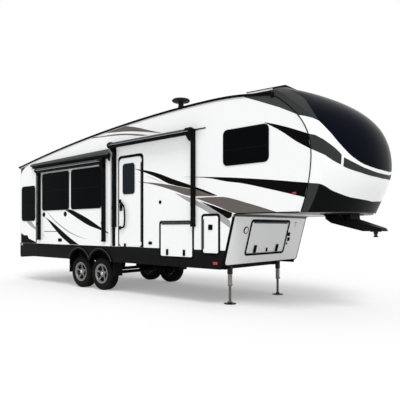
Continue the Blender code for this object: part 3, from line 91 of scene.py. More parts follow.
def seenDirectly(tree):
    # 1 where the camera, a mirror or glass sees it, 0 where it only gives light
    path = tree.nodes.new("ShaderNodeLightPath")
    near = mathNode(tree, "MAXIMUM", path.outputs["Is Camera Ray"], path.outputs["Is Glossy Ray"])
    return mathNode(tree, "MAXIMUM", near, path.outputs["Is Transmission Ray"])


def makeSky():
    world = bpy.data.worlds.new("softStudio")
    world.use_nodes = True
    tree = world.node_tree
    tree.nodes.clear()
    lit = tree.nodes.new("ShaderNodeBackground")
    lit.inputs["Strength"].default_value = light["sky"]
    seen = tree.nodes.new("ShaderNodeBackground")
    mix = tree.nodes.new("ShaderNodeMixShader")
    end = tree.nodes.new("ShaderNodeOutputWorld")
    tree.links.new(seenDirectly(tree), mix.inputs["Fac"])
    for background in (lit, seen):
        background.inputs["Color"].default_value = (1, 1, 1, 1)
    tree.links.new(lit.outputs[0], mix.inputs[1])
    tree.links.new(seen.outputs[0], mix.inputs[2])
    tree.links.new(mix.outputs[0], end.inputs["Surface"])
    bpy.context.scene.world = world


def makeLamp(name, tilt, strength, spread):
    bpy.ops.object.light_add(type="SUN", rotation=[math.radians(angle) for angle in tilt])
    lamp = bpy.context.object
    lamp.name = name
    lamp.data.energy = strength
    lamp.data.angle = math.radians(spread)


def makeFloor():
    bpy.ops.mesh.primitive_plane_add(size=ground["size"], location=(0, 0, 0))
    floor = bpy.context.object
    floor.name = "studioFloor"
    tone = bpy.data.materials.new("paleFloor")
    tone.use_nodes = True
    tree = tone.node_tree
    tree.nodes.clear()
    plain = tree.nodes.new("ShaderNodeBsdfDiffuse")
    plain.inputs["Color"].default_value = ground["lit"]
    bright = tree.nodes.new("ShaderNodeBsdfDiffuse")
    bright.inputs["Color"].default_value = ground["seen"]
    glow = tree.nodes.new("ShaderNodeEmission")
    glow.inputs["Strength"].default_value = ground["glow"]
    both = tree.nodes.new("ShaderNodeAddShader")
    mix = tree.nodes.new("ShaderNodeMixShader")
    end = tree.nodes.new("ShaderNodeOutputMaterial")
    tree.links.new(bright.outputs[0], both.inputs[0])
    tree.links.new(glow.outputs[0], both.inputs[1])
    tree.links.new(seenDirectly(tree), mix.inputs["Fac"])
    tree.links.new(plain.outputs[0], mix.inputs[1])
    tree.links.new(both.outputs[0], mix.inputs[2])
    tree.links.new(mix.outputs[0], end.inputs["Surface"])
    floor.data.materials.append(tone)


makeSky()
makeLamp("keySun", light["sunTilt"], light["sun"], light["sunSpread"])
makeLamp("fillSun", light["fillTilt"], light["fill"], light["fillSpread"])
makeFloor()
print("camera, lights and floor")

# Effects that several finishes share


def newGroup(name, inputs, outputs):
    group = bpy.data.node_groups.new(name, "ShaderNodeTree")
    for label, kind, value in inputs:
        socket = group.interface.new_socket(name=label, in_out="INPUT", socket_type="NodeSocket" + kind)
        if value is not None:
            socket.default_value = value
    for label, kind in outputs:
        group.interface.new_socket(name=label, in_out="OUTPUT", socket_type="NodeSocket" + kind)
    return group, group.nodes.new("NodeGroupInput"), group.nodes.new("NodeGroupOutput")


def mixColour(tree, share, first, second):
    node = tree.nodes.new("ShaderNodeMix")
    node.data_type = "RGBA"
    for index, value in ((0, share), (6, first), (7, second)):
        if isinstance(value, (int, float, tuple)):
            node.inputs[index].default_value = value
        else:
            tree.links.new(value, node.inputs[index])
    return node.outputs[2]


def noiseNode(tree, vector, scale, detail):
    node = tree.nodes.new("ShaderNodeTexNoise")
    node.inputs["Detail"].default_value = detail
    tree.links.new(vector, node.inputs["Vector"])
    if isinstance(scale, (int, float)):
        node.inputs["Scale"].default_value = scale
    else:
        tree.links.new(scale, node.inputs["Scale"])
    return node.outputs["Fac"]


def makeGrain():
    # Fine mottling over a slow drift of tone
    group, start, end = newGroup(
        "surfaceGrain",
        (("Vector", "Vector", None), ("Colour", "Color", (0.5, 0.5, 0.5, 1)), ("Roughness", "Float", 0.5),
         ("Scale", "Float", 60.0), ("Spread", "Float", 0.1), ("Polish", "Float", 0.1)),
        (("Colour", "Color"), ("Roughness", "Float"), ("Height", "Float")),
    )
    fine = noiseNode(group, start.outputs["Vector"], start.outputs["Scale"], 4.0)
    slow = noiseNode(group, start.outputs["Vector"], 1.7, 2.0)
    both = mathNode(group, "ADD", mathNode(group, "MULTIPLY", fine, 0.5), mathNode(group, "MULTIPLY", slow, 0.5))
    drift = mathNode(group, "SUBTRACT", both, 0.5)
    tone = mathNode(group, "ADD", mathNode(group, "MULTIPLY", drift, start.outputs["Spread"]), 1.0)
    scaled = group.nodes.new("ShaderNodeVectorMath")
    scaled.operation = "SCALE"
    group.links.new(start.outputs["Colour"], scaled.inputs[0])
    group.links.new(tone, scaled.inputs["Scale"])
    group.links.new(scaled.outputs[0], end.inputs["Colour"])
    polish = mathNode(group, "MULTIPLY", drift, start.outputs["Polish"])
    group.links.new(mathNode(group, "ADD", polish, start.outputs["Roughness"], True), end.inputs["Roughness"])
    group.links.new(fine, end.inputs["Height"])
    return group


def makeDust():
    # Road film that thins out upwards
    group, start, end = newGroup(
        "roadDust",
        (("Vector", "Vector", None), ("Colour", "Color", (0.5, 0.5, 0.5, 1)), ("Roughness", "Float", 0.5),
         ("Amount", "Float", 0.3), ("Top", "Float", 0.9)),
        (("Colour", "Color"), ("Roughness", "Float")),
    )
    split = group.nodes.new("ShaderNodeSeparateXYZ")
    group.links.new(start.outputs["Vector"], split.inputs[0])
    low = mathNode(group, "DIVIDE", split.outputs["Z"], start.outputs["Top"])
    low = mathNode(group, "SUBTRACT", 1.0, low, True)
    patches = mathNode(group, "MULTIPLY", noiseNode(group, start.outputs["Vector"], 9.0, 5.0), 1.5, True)
    mask = mathNode(group, "MULTIPLY", mathNode(group, "MULTIPLY", low, patches), start.outputs["Amount"], True)
    colour = mixColour(group, mask, start.outputs["Colour"], (0.30, 0.27, 0.23, 1))
    group.links.new(colour, end.inputs["Colour"])
    rough = mathNode(group, "ADD", start.outputs["Roughness"], mathNode(group, "MULTIPLY", mask, 0.5), True)
    group.links.new(rough, end.inputs["Roughness"])
    return group


def makeWear():
    # Rubbed, paler convex edges
    group, start, end = newGroup(
        "edgeWear",
        (("Vector", "Vector", None), ("Colour", "Color", (0.5, 0.5, 0.5, 1)), ("Amount", "Float", 0.3)),
        (("Colour", "Color"),),
    )
    shape = group.nodes.new("ShaderNodeNewGeometry")
    edge = mathNode(group, "MULTIPLY", mathNode(group, "SUBTRACT", shape.outputs["Pointiness"], 0.53), 9.0, True)
    broken = noiseNode(group, start.outputs["Vector"], 35.0, 4.0)
    mask = mathNode(group, "MULTIPLY", mathNode(group, "MULTIPLY", edge, broken), start.outputs["Amount"], True)
    group.links.new(mixColour(group, mask, start.outputs["Colour"], (0.42, 0.42, 0.41, 1)), end.inputs["Colour"])
    return group


def makeBeyond():
    # 1 on what stands past a level along an axis, such as hinges on a wall
    group, start, end = newGroup(
        "pastLevel",
        (("Vector", "Vector", None), ("Axis", "Vector", (0, 0, 1)), ("Level", "Float", 0.0)),
        (("Mask", "Float"),),
    )
    dot = group.nodes.new("ShaderNodeVectorMath")
    dot.operation = "DOT_PRODUCT"
    group.links.new(start.outputs["Vector"], dot.inputs[0])
    group.links.new(start.outputs["Axis"], dot.inputs[1])
    past = mathNode(group, "GREATER_THAN", dot.outputs["Value"], start.outputs["Level"])
    group.links.new(past, end.inputs["Mask"])
    return group


def makeWeave():
    # Two crossed sets of threads
    group, start, end = newGroup(
        "clothWeave",
        (("Vector", "Vector", None), ("Scale", "Float", 400.0)),
        (("Height", "Float"),),
    )
    threads = []
    for direction in ("X", "Z"):
        wave = group.nodes.new("ShaderNodeTexWave")
        wave.bands_direction = direction
        group.links.new(start.outputs["Vector"], wave.inputs["Vector"])
        group.links.new(start.outputs["Scale"], wave.inputs["Scale"])
        threads.append(wave.outputs["Fac"])
    group.links.new(mathNode(group, "ADD", *threads), end.inputs["Height"])
    return group


grainGroup, dustGroup, wearGroup = makeGrain(), makeDust(), makeWear()
beyondGroup, weaveGroup = makeBeyond(), makeWeave()


def placeGroup(tree, group, **values):
    node = tree.nodes.new("ShaderNodeGroup")
    node.node_tree = group
    for label, value in values.items():
        if isinstance(value, bpy.types.NodeSocket):
            tree.links.new(value, node.inputs[label])
        else:
            node.inputs[label].default_value = value
    return node


def makeFinish(name, colour, roughness, metallic=0.0, scale=60.0, spread=0.12, polish=0.12, bump=0.02,
               dust=0.0, dustTop=0.95, wear=0.0, coat=0.0, specular=0.5, stretch=(1, 1, 1), past=None, weave=0.0):
    paint = bpy.data.materials.new(name)
    paint.use_nodes = True
    paint.diffuse_color = (*colour, 1)
    tree = paint.node_tree
    shader = tree.nodes["Principled BSDF"]
    place = tree.nodes.new("ShaderNodeTexCoord").outputs["Object"]
    shape = tree.nodes.new("ShaderNodeMapping")
    shape.inputs["Scale"].default_value = stretch
    tree.links.new(place, shape.inputs["Vector"])
    grain = placeGroup(tree, grainGroup, Vector=shape.outputs[0], Colour=(*colour, 1), Roughness=roughness,
                       Scale=scale, Spread=spread, Polish=polish)
    shade, rough = grain.outputs["Colour"], grain.outputs["Roughness"]
    if past:
        axis, level, otherColour, otherRoughness, otherMetallic = past
        mask = placeGroup(tree, beyondGroup, Vector=place, Axis=axis, Level=level).outputs["Mask"]
        shade = mixColour(tree, mask, shade, (*otherColour, 1))
        change = mathNode(tree, "MULTIPLY", mask, otherRoughness - roughness)
        rough = mathNode(tree, "ADD", rough, change, True)
        if otherMetallic != metallic:
            change = mathNode(tree, "MULTIPLY", mask, otherMetallic - metallic)
            tree.links.new(mathNode(tree, "ADD", change, metallic, True), shader.inputs["Metallic"])
    if wear:
        shade = placeGroup(tree, wearGroup, Vector=place, Colour=shade, Amount=wear).outputs["Colour"]
    if dust:
        film = placeGroup(tree, dustGroup, Vector=place, Colour=shade, Roughness=rough, Amount=dust, Top=dustTop)
        shade, rough = film.outputs["Colour"], film.outputs["Roughness"]
    tree.links.new(shade, shader.inputs["Base Color"])
    tree.links.new(rough, shader.inputs["Roughness"])
    height = grain.outputs["Height"]
    if weave:
        height = placeGroup(tree, weaveGroup, Vector=place, Scale=weave).outputs["Height"]
    relief = tree.nodes.new("ShaderNodeBump")
    relief.inputs["Strength"].default_value = 0.35
    relief.inputs["Distance"].default_value = bump
    tree.links.new(height, relief.inputs["Height"])
    tree.links.new(relief.outputs[0], shader.inputs["Normal"])
    if not (past and past[4] != metallic):
        shader.inputs["Metallic"].default_value = metallic
    shader.inputs["Coat Weight"].default_value = coat
    shader.inputs["Specular IOR Level"].default_value = specular
    return paint


def blacken(finish, *limits):
    # Black where the place is past the limit, or past both limits
    tree = finish.node_tree
    shader = tree.nodes["Principled BSDF"]
    place = tree.nodes.new("ShaderNodeTexCoord").outputs["Object"]
    masks = [placeGroup(tree, beyondGroup, Vector=place, Axis=axis, Level=level).outputs["Mask"]
             for axis, level in limits]
    mask = mathNode(tree, "MULTIPLY", *masks) if len(masks) == 2 else masks[0]
    shade = shader.inputs["Base Color"].links[0].from_socket
    tree.links.new(mixColour(tree, mask, shade, (0.006, 0.006, 0.006, 1)), shader.inputs["Base Color"])


def makeDeckFinish():
    # Pale panel under the bed, board on top of it, black where it runs on under the cap
    boardFoot, capStart = 1.6590, 7.62
    finish = makeFinish("bedDeck", (0.60, 0.605, 0.61), 0.40, scale=70, spread=0.06, bump=0.0006,
                        past=((0, 0, 1), boardFoot, (0.42, 0.31, 0.20), 0.74, 0.0))
    blacken(finish, ((1, 0, 0), rearX + capStart), ((0, 0, -1), -boardFoot))
    return finish


def makeLegFinish():
    # Black outer tube, bare grey inner tube below it, then the duller stem and the black pad
    stemTop, outerFoot, padTop = 0.336, 0.5302, 0.030
    finish = makeFinish("legTubes", (0.115, 0.105, 0.098), 0.46, scale=120, spread=0.35, bump=0.0008, dust=0.05,
                        specular=0.2, past=((0, 0, 1), stemTop, (0.27, 0.25, 0.235), 0.42, 0.0))
    blacken(finish, ((0, 0, 1), outerFoot))
    blacken(finish, ((0, 0, -1), -padTop))
    return finish


blackTrim = ((0.0034, 0.0034, 0.0036), 0.42, 0.0)
darkBarrel = ((0.010, 0.010, 0.010), 0.5, 0.0)
panelLean = math.atan(0.235 / 0.88)
slopeOut = Vector((math.cos(panelLean), 0, -math.sin(panelLean)))
slopeUp = Vector((math.sin(panelLean), 0, math.cos(panelLean)))
panelFoot = at(deckLength - 0.235, 0, 0.70)
slopePast = (tuple(slopeOut), slopeOut.dot(panelFoot) + 0.0008, *blackTrim)


def sidePast(side, face):
    # Black trim on what stands proud of a side face
    return ((0, side, 0), face + side * midY, *blackTrim)


gelcoat = dict(colour=(0.90, 0.905, 0.91), roughness=0.24, scale=2.2, spread=0.035, polish=0.10, bump=0.0012,
               coat=0.25, specular=0.45)
machined = dict(colour=(0.20, 0.20, 0.203), roughness=0.28, metallic=0.9, scale=150, spread=0.12, bump=0.0004)
paint = {
    "wallRight": makeFinish("gelcoatRightWall", **gelcoat, past=sidePast(-1, halfWidth + 0.0008)),
    "wallLeft": makeFinish("gelcoatLeftWall", **gelcoat, past=sidePast(1, halfWidth + 0.0008)),
    "hatchRight": makeFinish("gelcoatRightHatch", **gelcoat, past=sidePast(-1, outerFace + 0.0006)),
    "hatchLeft": makeFinish("gelcoatLeftHatch", **gelcoat, past=sidePast(1, outerFace + 0.0006)),
    "white": makeFinish("gelcoatWhite", **gelcoat),
    "panel": makeFinish("paleGreyPanel", (0.80, 0.802, 0.805), 0.34, scale=70, spread=0.05, bump=0.0006,
                        past=slopePast),
    "skirt": makeFinish("mouldedSkirt", (0.0062, 0.0064, 0.0068), 0.42, scale=180, spread=0.3, bump=0.0007,
                        dust=0.015, wear=0.015, specular=0.03),
    "glass": makeFinish("tintedGlass", (0.0020, 0.0027, 0.0029), 0.05, scale=3, spread=0.3, polish=0.05,
                        bump=0.0004, specular=0.014),
    "doorGlass": makeFinish("frostedDoorGlass", (0.0088, 0.0130, 0.0185), 0.16, scale=160, spread=0.6, bump=0.0010,
                            specular=0.05),
    "glossBlack": makeFinish("glossBlackCap", (0.0030, 0.0045, 0.0085), 0.22, scale=2.5, spread=0.4, bump=0.0010,
                             specular=0.014),
    "matteGrey": makeFinish("charcoalCap", (0.033, 0.037, 0.0355), 0.42, scale=120, spread=0.15, bump=0.0006,
                            specular=0.04),
    "capBlack": makeFinish("satinBlackCap", (0.0040, 0.0043, 0.0043), 0.36, scale=120, spread=0.2, bump=0.0006,
                           specular=0.03),
    "blackFilm": makeFinish("blackVinylFilm", (0.0028, 0.0029, 0.0027), 0.34, scale=90, spread=0.2, bump=0.0004,
                            specular=0.02),
    "taupeFilm": makeFinish("taupeVinylFilm", (0.125, 0.108, 0.098), 0.36, scale=140, spread=0.10, bump=0.0004,
                            specular=0.12),
    "greyFilm": makeFinish("greyVinylFilm", (0.36, 0.36, 0.365), 0.36, scale=140, spread=0.08, bump=0.0004,
                           specular=0.2),
    "darkFilm": makeFinish("charcoalVinylFilm", (0.050, 0.051, 0.051), 0.38, scale=140, spread=0.12, bump=0.0004,
                           specular=0.06),
    "rubber": makeFinish("tyreRubber", (0.0052, 0.0051, 0.0050), 0.62, scale=90, spread=0.35, bump=0.0010,
                         dust=0.015, dustTop=0.8, specular=0.04),
    "seal": makeFinish("rubberSeal", (0.005, 0.005, 0.0055), 0.55, scale=150, spread=0.25, bump=0.0006,
                       specular=0.03),
    "alloy": makeFinish("castAlloy", (0.185, 0.187, 0.185), 0.30, 0.9, scale=150, spread=0.12, bump=0.0005,
                        dust=0.06, dustTop=0.8),
    "rimLip_right": makeFinish("machinedLipRight", **machined, past=((0, 1, 0), midY - 1.04, *darkBarrel)),
    "rimLip_left": makeFinish("machinedLipLeft", **machined, past=((0, -1, 0), -midY - 1.04, *darkBarrel)),
    "chrome": makeFinish("brightCap", (0.60, 0.60, 0.61), 0.14, 1.0, scale=30, spread=0.08, bump=0.0003),
    "drum": makeFinish("castDrum", (0.010, 0.010, 0.010), 0.60, 0.2, scale=120, spread=0.3, bump=0.0010, dust=0.04,
                       dustTop=0.8, specular=0.1),
    "steel": makeFinish("paintedSteel", (0.0038, 0.0038, 0.0041), 0.46, scale=80, spread=0.35, bump=0.0010,
                        dust=0.02, wear=0.015, specular=0.025),
    "pinSteel": makeFinish("kingpinSteel", (0.020, 0.020, 0.020), 0.40, 0.4, scale=110, spread=0.3, bump=0.0006,
                           specular=0.2),
    "leg": makeLegFinish(),
    "zinc": makeFinish("zincFitting", (0.50, 0.50, 0.49), 0.34, 0.9, scale=120, spread=0.2, bump=0.0005),
    "plastic": makeFinish("blackPlastic", (0.0034, 0.0034, 0.0036), 0.42, scale=260, spread=0.25, bump=0.0006,
                          wear=0.015, specular=0.018),
    "arm": makeFinish("armAnodised", (0.0032, 0.0032, 0.0034), 0.34, scale=60, spread=0.25, bump=0.0004,
                      stretch=(1, 1, 0.05), wear=0.015, specular=0.02),
    "shroud": makeFinish("coolerShroud", (0.014, 0.015, 0.016), 0.46, scale=220, spread=0.22, bump=0.0008,
                         wear=0.02, specular=0.05),
    "membrane": makeFinish("roofMembrane", (0.70, 0.70, 0.69), 0.72, scale=130, spread=0.10, bump=0.0014,
                           dust=0.12, dustTop=6.0),
    "deck": makeDeckFinish(),
    "board": makeFinish("deckBoard", (0.42, 0.31, 0.20), 0.74, scale=26, spread=0.45, bump=0.0012,
                        stretch=(0.15, 1.6, 1.6)),
    "fabric": makeFinish("awningCloth", (0.065, 0.067, 0.070), 0.66, scale=30, spread=0.25, bump=0.0006,
                         stretch=(0.1, 1, 1), weave=330.0, specular=0.08),
    "frameGrey": makeFinish("doorFrame", (0.0040, 0.0042, 0.0045), 0.36, scale=60, spread=0.2, bump=0.0004,
                            stretch=(1, 1, 0.1), wear=0.015, specular=0.02),
    # Lighter grey for the painted highlight along the flares' upper edges
    "flareHighlight": makeFinish("flareHighlight", (0.060, 0.061, 0.062), 0.32, scale=80, spread=0.2, bump=0.0003,
                            specular=0.3),
    "edging": makeFinish("brightEdging", (0.50, 0.51, 0.52), 0.30, 0.4, scale=80, spread=0.1, bump=0.0003),
    "whitePlastic": makeFinish("whitePlastic", (0.82, 0.82, 0.815), 0.36, scale=180, spread=0.06, bump=0.0005),
    "redLens": makeFinish("redLens", (0.42, 0.020, 0.012), 0.14, scale=220, spread=0.35, bump=0.0012),
}
print("finishes", len(paint))

# Modelling helpers


def deselectAll():
    if bpy.context.object and bpy.context.object.mode != "OBJECT":
        bpy.ops.object.mode_set(mode="OBJECT")
    bpy.ops.object.select_all(action="DESELECT")


def pickOnly(piece):
    deselectAll()
    piece.select_set(True)
    bpy.context.view_layer.objects.active = piece


def dress(piece, name, finish, body="trailer", slotName="black_plastic", stands=(), softAngle=32):
    pickOnly(piece)
    piece.name = name
    piece.data.name = name
    bpy.ops.object.transform_apply(location=True, rotation=True, scale=True)
    piece.data.materials.clear()
    piece.data.materials.append(paint[finish])
    bpy.ops.object.shade_smooth_by_angle(angle=math.radians(softAngle))
    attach(piece, body)
    if stands:
        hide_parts(*stands)


def applyModifier(piece, kind, **settings):
    pickOnly(piece)
    bpy.ops.object.modifier_add(type=kind)
    modifier = piece.modifiers[-1]
    for label, value in settings.items():
        setattr(modifier, label, value)
    bpy.ops.object.modifier_apply(modifier=modifier.name)


def meshPiece(points, edges, faces):
    mesh = bpy.data.meshes.new("draft")
    mesh.from_pydata([tuple(point) for point in points], edges, faces)
    piece = bpy.data.objects.new("draft", mesh)
    bpy.context.scene.collection.objects.link(piece)
    pickOnly(piece)
    return piece


def boxPiece(low, high, soft, segments=2):
    deselectAll()
    low, high = at(*low), at(*high)
    bpy.ops.mesh.primitive_cube_add(size=1, location=(low + high) / 2, scale=high - low)
    piece = bpy.context.object
    bpy.ops.object.transform_apply(location=True, rotation=True, scale=True)
    bpy.ops.object.mode_set(mode="EDIT")
    bpy.ops.mesh.select_all(action="SELECT")
    bpy.ops.mesh.bevel(offset=soft, segments=segments, affect="EDGES")
    bpy.ops.object.mode_set(mode="OBJECT")
    return piece


def loftPiece(loops):
    # Loops of points with the same count, joined in order and closed at both ends
    count = len(loops[0])
    points = [point for loop in loops for point in loop]
    faces = []
    for row in range(len(loops) - 1):
        for i in range(count):
            j = (i + 1) % count
            faces.append((row * count + i, row * count + j, (row + 1) * count + j, (row + 1) * count + i))
    faces.append(tuple(range(count)))
    faces.append(tuple(range((len(loops) - 1) * count, len(loops) * count)))
    piece = meshPiece(points, [], faces)
    cleanNormals(piece)
    return piece


def cleanNormals(piece):
    pickOnly(piece)
    bpy.ops.object.mode_set(mode="EDIT")
    bpy.ops.mesh.select_all(action="SELECT")
    bpy.ops.mesh.remove_doubles(threshold=0.00002)
    bpy.ops.mesh.normals_make_consistent(inside=False)
    bpy.ops.object.mode_set(mode="OBJECT")


def pickFaces(piece, test):
    # Leaves the piece in edit mode with only the faces that pass the test selected
    pickOnly(piece)
    bpy.ops.object.mode_set(mode="EDIT")
    bpy.context.tool_settings.mesh_select_mode = (False, False, True)
    bpy.ops.mesh.select_all(action="DESELECT")
    bpy.ops.object.mode_set(mode="OBJECT")
    for face in piece.data.polygons:
        face.select = bool(test(face))
    bpy.ops.object.mode_set(mode="EDIT")


def lathePiece(profile, centre, axis, steps):
    # Profile of (radius, distance along the axis), turned about it in edit mode
    along = {"X": Vector((1, 0, 0)), "Y": Vector((0, 1, 0)), "Z": Vector((0, 0, 1))}[axis]
    out = Vector((0, 0, -1)) if axis != "Z" else Vector((1, 0, 0))
    centre = at(*centre)
    points = [centre + along * distance + out * radius for radius, distance in profile]
    piece = meshPiece(points, [(i, i + 1) for i in range(len(points) - 1)], [])
    bpy.ops.object.mode_set(mode="EDIT")
    bpy.ops.mesh.select_all(action="SELECT")
    bpy.ops.mesh.spin(steps=steps, angle=2 * math.pi, center=centre, axis=along)
    bpy.ops.object.mode_set(mode="OBJECT")
    cleanNormals(piece)
    return piece


def gridPiece(columns, rows, where):
    deselectAll()
    bpy.ops.mesh.primitive_grid_add(x_subdivisions=columns, y_subdivisions=rows, size=1)
    piece = bpy.context.object
    for vert in piece.data.vertices:
        vert.co = where(vert.co.x + 0.5, vert.co.y + 0.5)
    return piece


def meshFrom(curve):
    piece = bpy.data.objects.new("draft", curve)
    bpy.context.scene.collection.objects.link(piece)
    pickOnly(piece)
    bpy.ops.object.convert(target="MESH")
    return bpy.context.object


planes = {
    # along, up, outwards and origin
    "right": (Vector((1, 0, 0)), Vector((0, 0, 1)), Vector((0, -1, 0)), at(0, 0, 0)),
    "left": (Vector((-1, 0, 0)), Vector((0, 0, 1)), Vector((0, 1, 0)), at(0, 0, 0)),
    "rear": (Vector((0, -1, 0)), Vector((0, 0, 1)), Vector((-1, 0, 0)), at(0, 0, 0)),
    "front": (Vector((0, 1, 0)), slopeUp, slopeOut, panelFoot),
}


def flatPiece(loops, plane, level, depth, soft=0.0):
    # Filled outline, the second and later loops are holes; level and depth count outwards from the plane
    curve = bpy.data.curves.new("draft", "CURVE")
    curve.dimensions = "2D"
    curve.fill_mode = "BOTH"
    curve.extrude = depth / 2 - soft
    curve.bevel_depth = soft
    curve.bevel_resolution = 1
    curve.offset = -soft
    for loop in loops:
        line = curve.splines.new("POLY")
        line.points.add(len(loop) - 1)
        for knot, (u, v) in zip(line.points, loop):
            knot.co = (-u if plane == "left" else u, v, 0, 1)
        line.use_cyclic_u = True
    piece = meshFrom(curve)
    across, up, out, origin = planes[plane]
    turn = Matrix((across, up, out)).transposed().to_4x4()
    piece.matrix_world = Matrix.Translation(origin + out * (level + depth / 2)) @ turn
    bpy.ops.object.transform_apply(location=True, rotation=True, scale=True)
    return piece


def grown(box, by):
    return box[0] - by, box[1] + by, box[2] - by, box[3] + by


def boxRound(centre, wide, high):
    return centre[0] - wide, centre[0] + wide, centre[1] - high, centre[1] + high


def roundedLoop(box, radius, steps=6, grow=0.0):
    a0, a1, b0, b1 = grown(box, grow)
    radius = max(0.0005, radius + grow)
    loop = []
    corners = ((a1 - radius, b1 - radius, 0), (a0 + radius, b1 - radius, 90),
               (a0 + radius, b0 + radius, 180), (a1 - radius, b0 + radius, 270))
    for ca, cb, turn in corners:
        for step in range(steps + 1):
            angle = math.radians(turn + 90 * step / steps)
            loop.append((ca + radius * math.cos(angle), cb + radius * math.sin(angle)))
    return loop


def ringPiece(inner, radius, widths, plane, level, depth, soft=0.0012):
    # Frame round a box; widths are low and high along the plane, then low and high up it
    outer = (inner[0] - widths[0], inner[1] + widths[1], inner[2] - widths[2], inner[3] + widths[3])
    loops = [roundedLoop(outer, radius + min(widths)), roundedLoop(inner, radius)]
    return flatPiece(loops, plane, level, depth, soft)


def platePiece(box, corner, plane, level, depth, soft):
    return flatPiece([roundedLoop(box, corner)], plane, level, depth, soft)


def circleLoop(centre, radius):
    turns = [2 * math.pi * i / 32 for i in range(32)]
    return [(centre[0] + radius * math.cos(turn), centre[1] + radius * math.sin(turn)) for turn in turns]


def tubePiece(points, radius, sides=4):
    curve = bpy.data.curves.new("draft", "CURVE")
    curve.dimensions = "3D"
    curve.bevel_depth = radius
    curve.bevel_resolution = sides
    curve.resolution_u = 8
    curve.use_fill_caps = True
    line = curve.splines.new("BEZIER")
    line.bezier_points.add(len(points) - 1)
    for knot, point in zip(line.bezier_points, points):
        knot.co = at(*point)
        knot.handle_left_type = knot.handle_right_type = "AUTO"
    return meshFrom(curve)


def joinPieces(pieces):
    deselectAll()
    for piece in pieces:
        piece.select_set(True)
    bpy.context.view_layer.objects.active = pieces[0]
    bpy.ops.object.join()
    return bpy.context.object


def twinPiece(piece, matrix):
    # A copy with its own mesh, moved in the mesh
    twin = piece.copy()
    twin.data = piece.data.copy()
    twin.data.transform(matrix)
    bpy.context.scene.collection.objects.link(twin)
    return twin


def evenly(start, end, count):
    return [start + (end - start) * i / count for i in range(count + 1)]


def smoothLine(points):
    # A smooth line through points sorted by their first value, which never overshoots
    xs = [point[0] for point in points]
    slopes = [(b[1] - a[1]) / (b[0] - a[0]) for a, b in zip(points, points[1:])]
    tangents = [slopes[0]]
    for before, after in zip(slopes, slopes[1:]):
        tangents.append(0.0 if before * after <= 0 else 2 * before * after / (before + after))
    tangents.append(slopes[-1])

    def lineAt(x):
        if x <= xs[0]:
            return points[0][1]
        if x >= xs[-1]:
            return points[-1][1]
        k = max(i for i in range(len(xs) - 1) if xs[i] <= x)
        span = xs[k + 1] - xs[k]
        t = (x - xs[k]) / span
        low, high = points[k][1], points[k + 1][1]
        return (low * (1 + 2 * t) * (1 - t) ** 2 + span * tangents[k] * t * (1 - t) ** 2
                + high * t * t * (3 - 2 * t) + span * tangents[k + 1] * t * t * (t - 1))

    return lineAt


roofLine = {
    # highest point of the side edge, fall and curve to the rear, fall, length and curve to the cap, rise across
    "peak": (6.30, 3.545), "rear": (0.605, 1.75), "front": (0.141, 1.36, 2.6), "camber": 0.11,
}


def roofHeight(x):
    peakX, peakZ = roofLine["peak"]
    if x <= peakX:
        fall, power = roofLine["rear"]
        return peakZ - fall * ((peakX - x) / peakX) ** power
    fall, run, power = roofLine["front"]
    return peakZ - fall * ((x - peakX) / run) ** power


def camberAt(y):
    return roofLine["camber"] * (1 - (y / halfWidth) ** 2)


def roofTop(x, y):
    return roofHeight(x) + camberAt(y)


# Moulded front cap

cap = {
    # height at the side, then seam, crease and nose ahead of the deck's corner, height at the nose, how
    # boxy the arch from side to side is, rise from the seam to the crease
    "ribs": ((1.580, 1.210, 1.310, 1.740, 1.600, 2.0, 0), (1.780, 1.277, 1.410, 1.830, 1.800, 2.0, 0),
             (2.020, 1.335, 1.500, 1.950, 2.045, 2.0, 0), (2.250, 1.367, 1.565, 2.010, 2.290, 2.0, 0),
             (2.480, 1.375, 1.585, 1.998, 2.540, 2.0, 0), (2.680, 1.345, 1.545, 1.945, 2.760, 2.0, 0),
             (2.860, 1.275, 1.455, 1.850, 2.960, 2.0, 0), (3.030, 1.165, 1.325, 1.700, 3.140, 2.0, 0),
             (3.170, 1.035, 1.175, 1.500, 3.302, 2.1, 0), (3.290, 0.895, 1.010, 1.270, 3.440, 2.4, 0.012),
             (3.370, 0.790, 0.870, 1.020, 3.552, 3.0, 0.050), (3.404, 0.720, 0.720, 0.720, 3.648, 4.0, 0.098)),
    "creaseInset": 0.035,
    "nosePower": 2.2,
    "thickness": 0.028,
    "filmLift": 0.003,
    "filmUnder": 0.0024,
    "seamColumns": (1.05, 1.1),
    # the crown's return: places from the front face back, and how far its top and foot lie off cap and roof
    "returnX": (7.662, 7.645, 7.627, 7.617, 7.575),
    "returnTop": 0.0024,
    "returnFoot": -0.012,
    "browColumns": (0.96, 0.95, 0.94, 0.93, 0.92, 0.905, 0.89, 0.875, 0.86, 0.845, 0.83, 0.815, 0.80, 0.79, 0.785,
                    0.778),
}
lastRib = len(cap["ribs"]) - 1
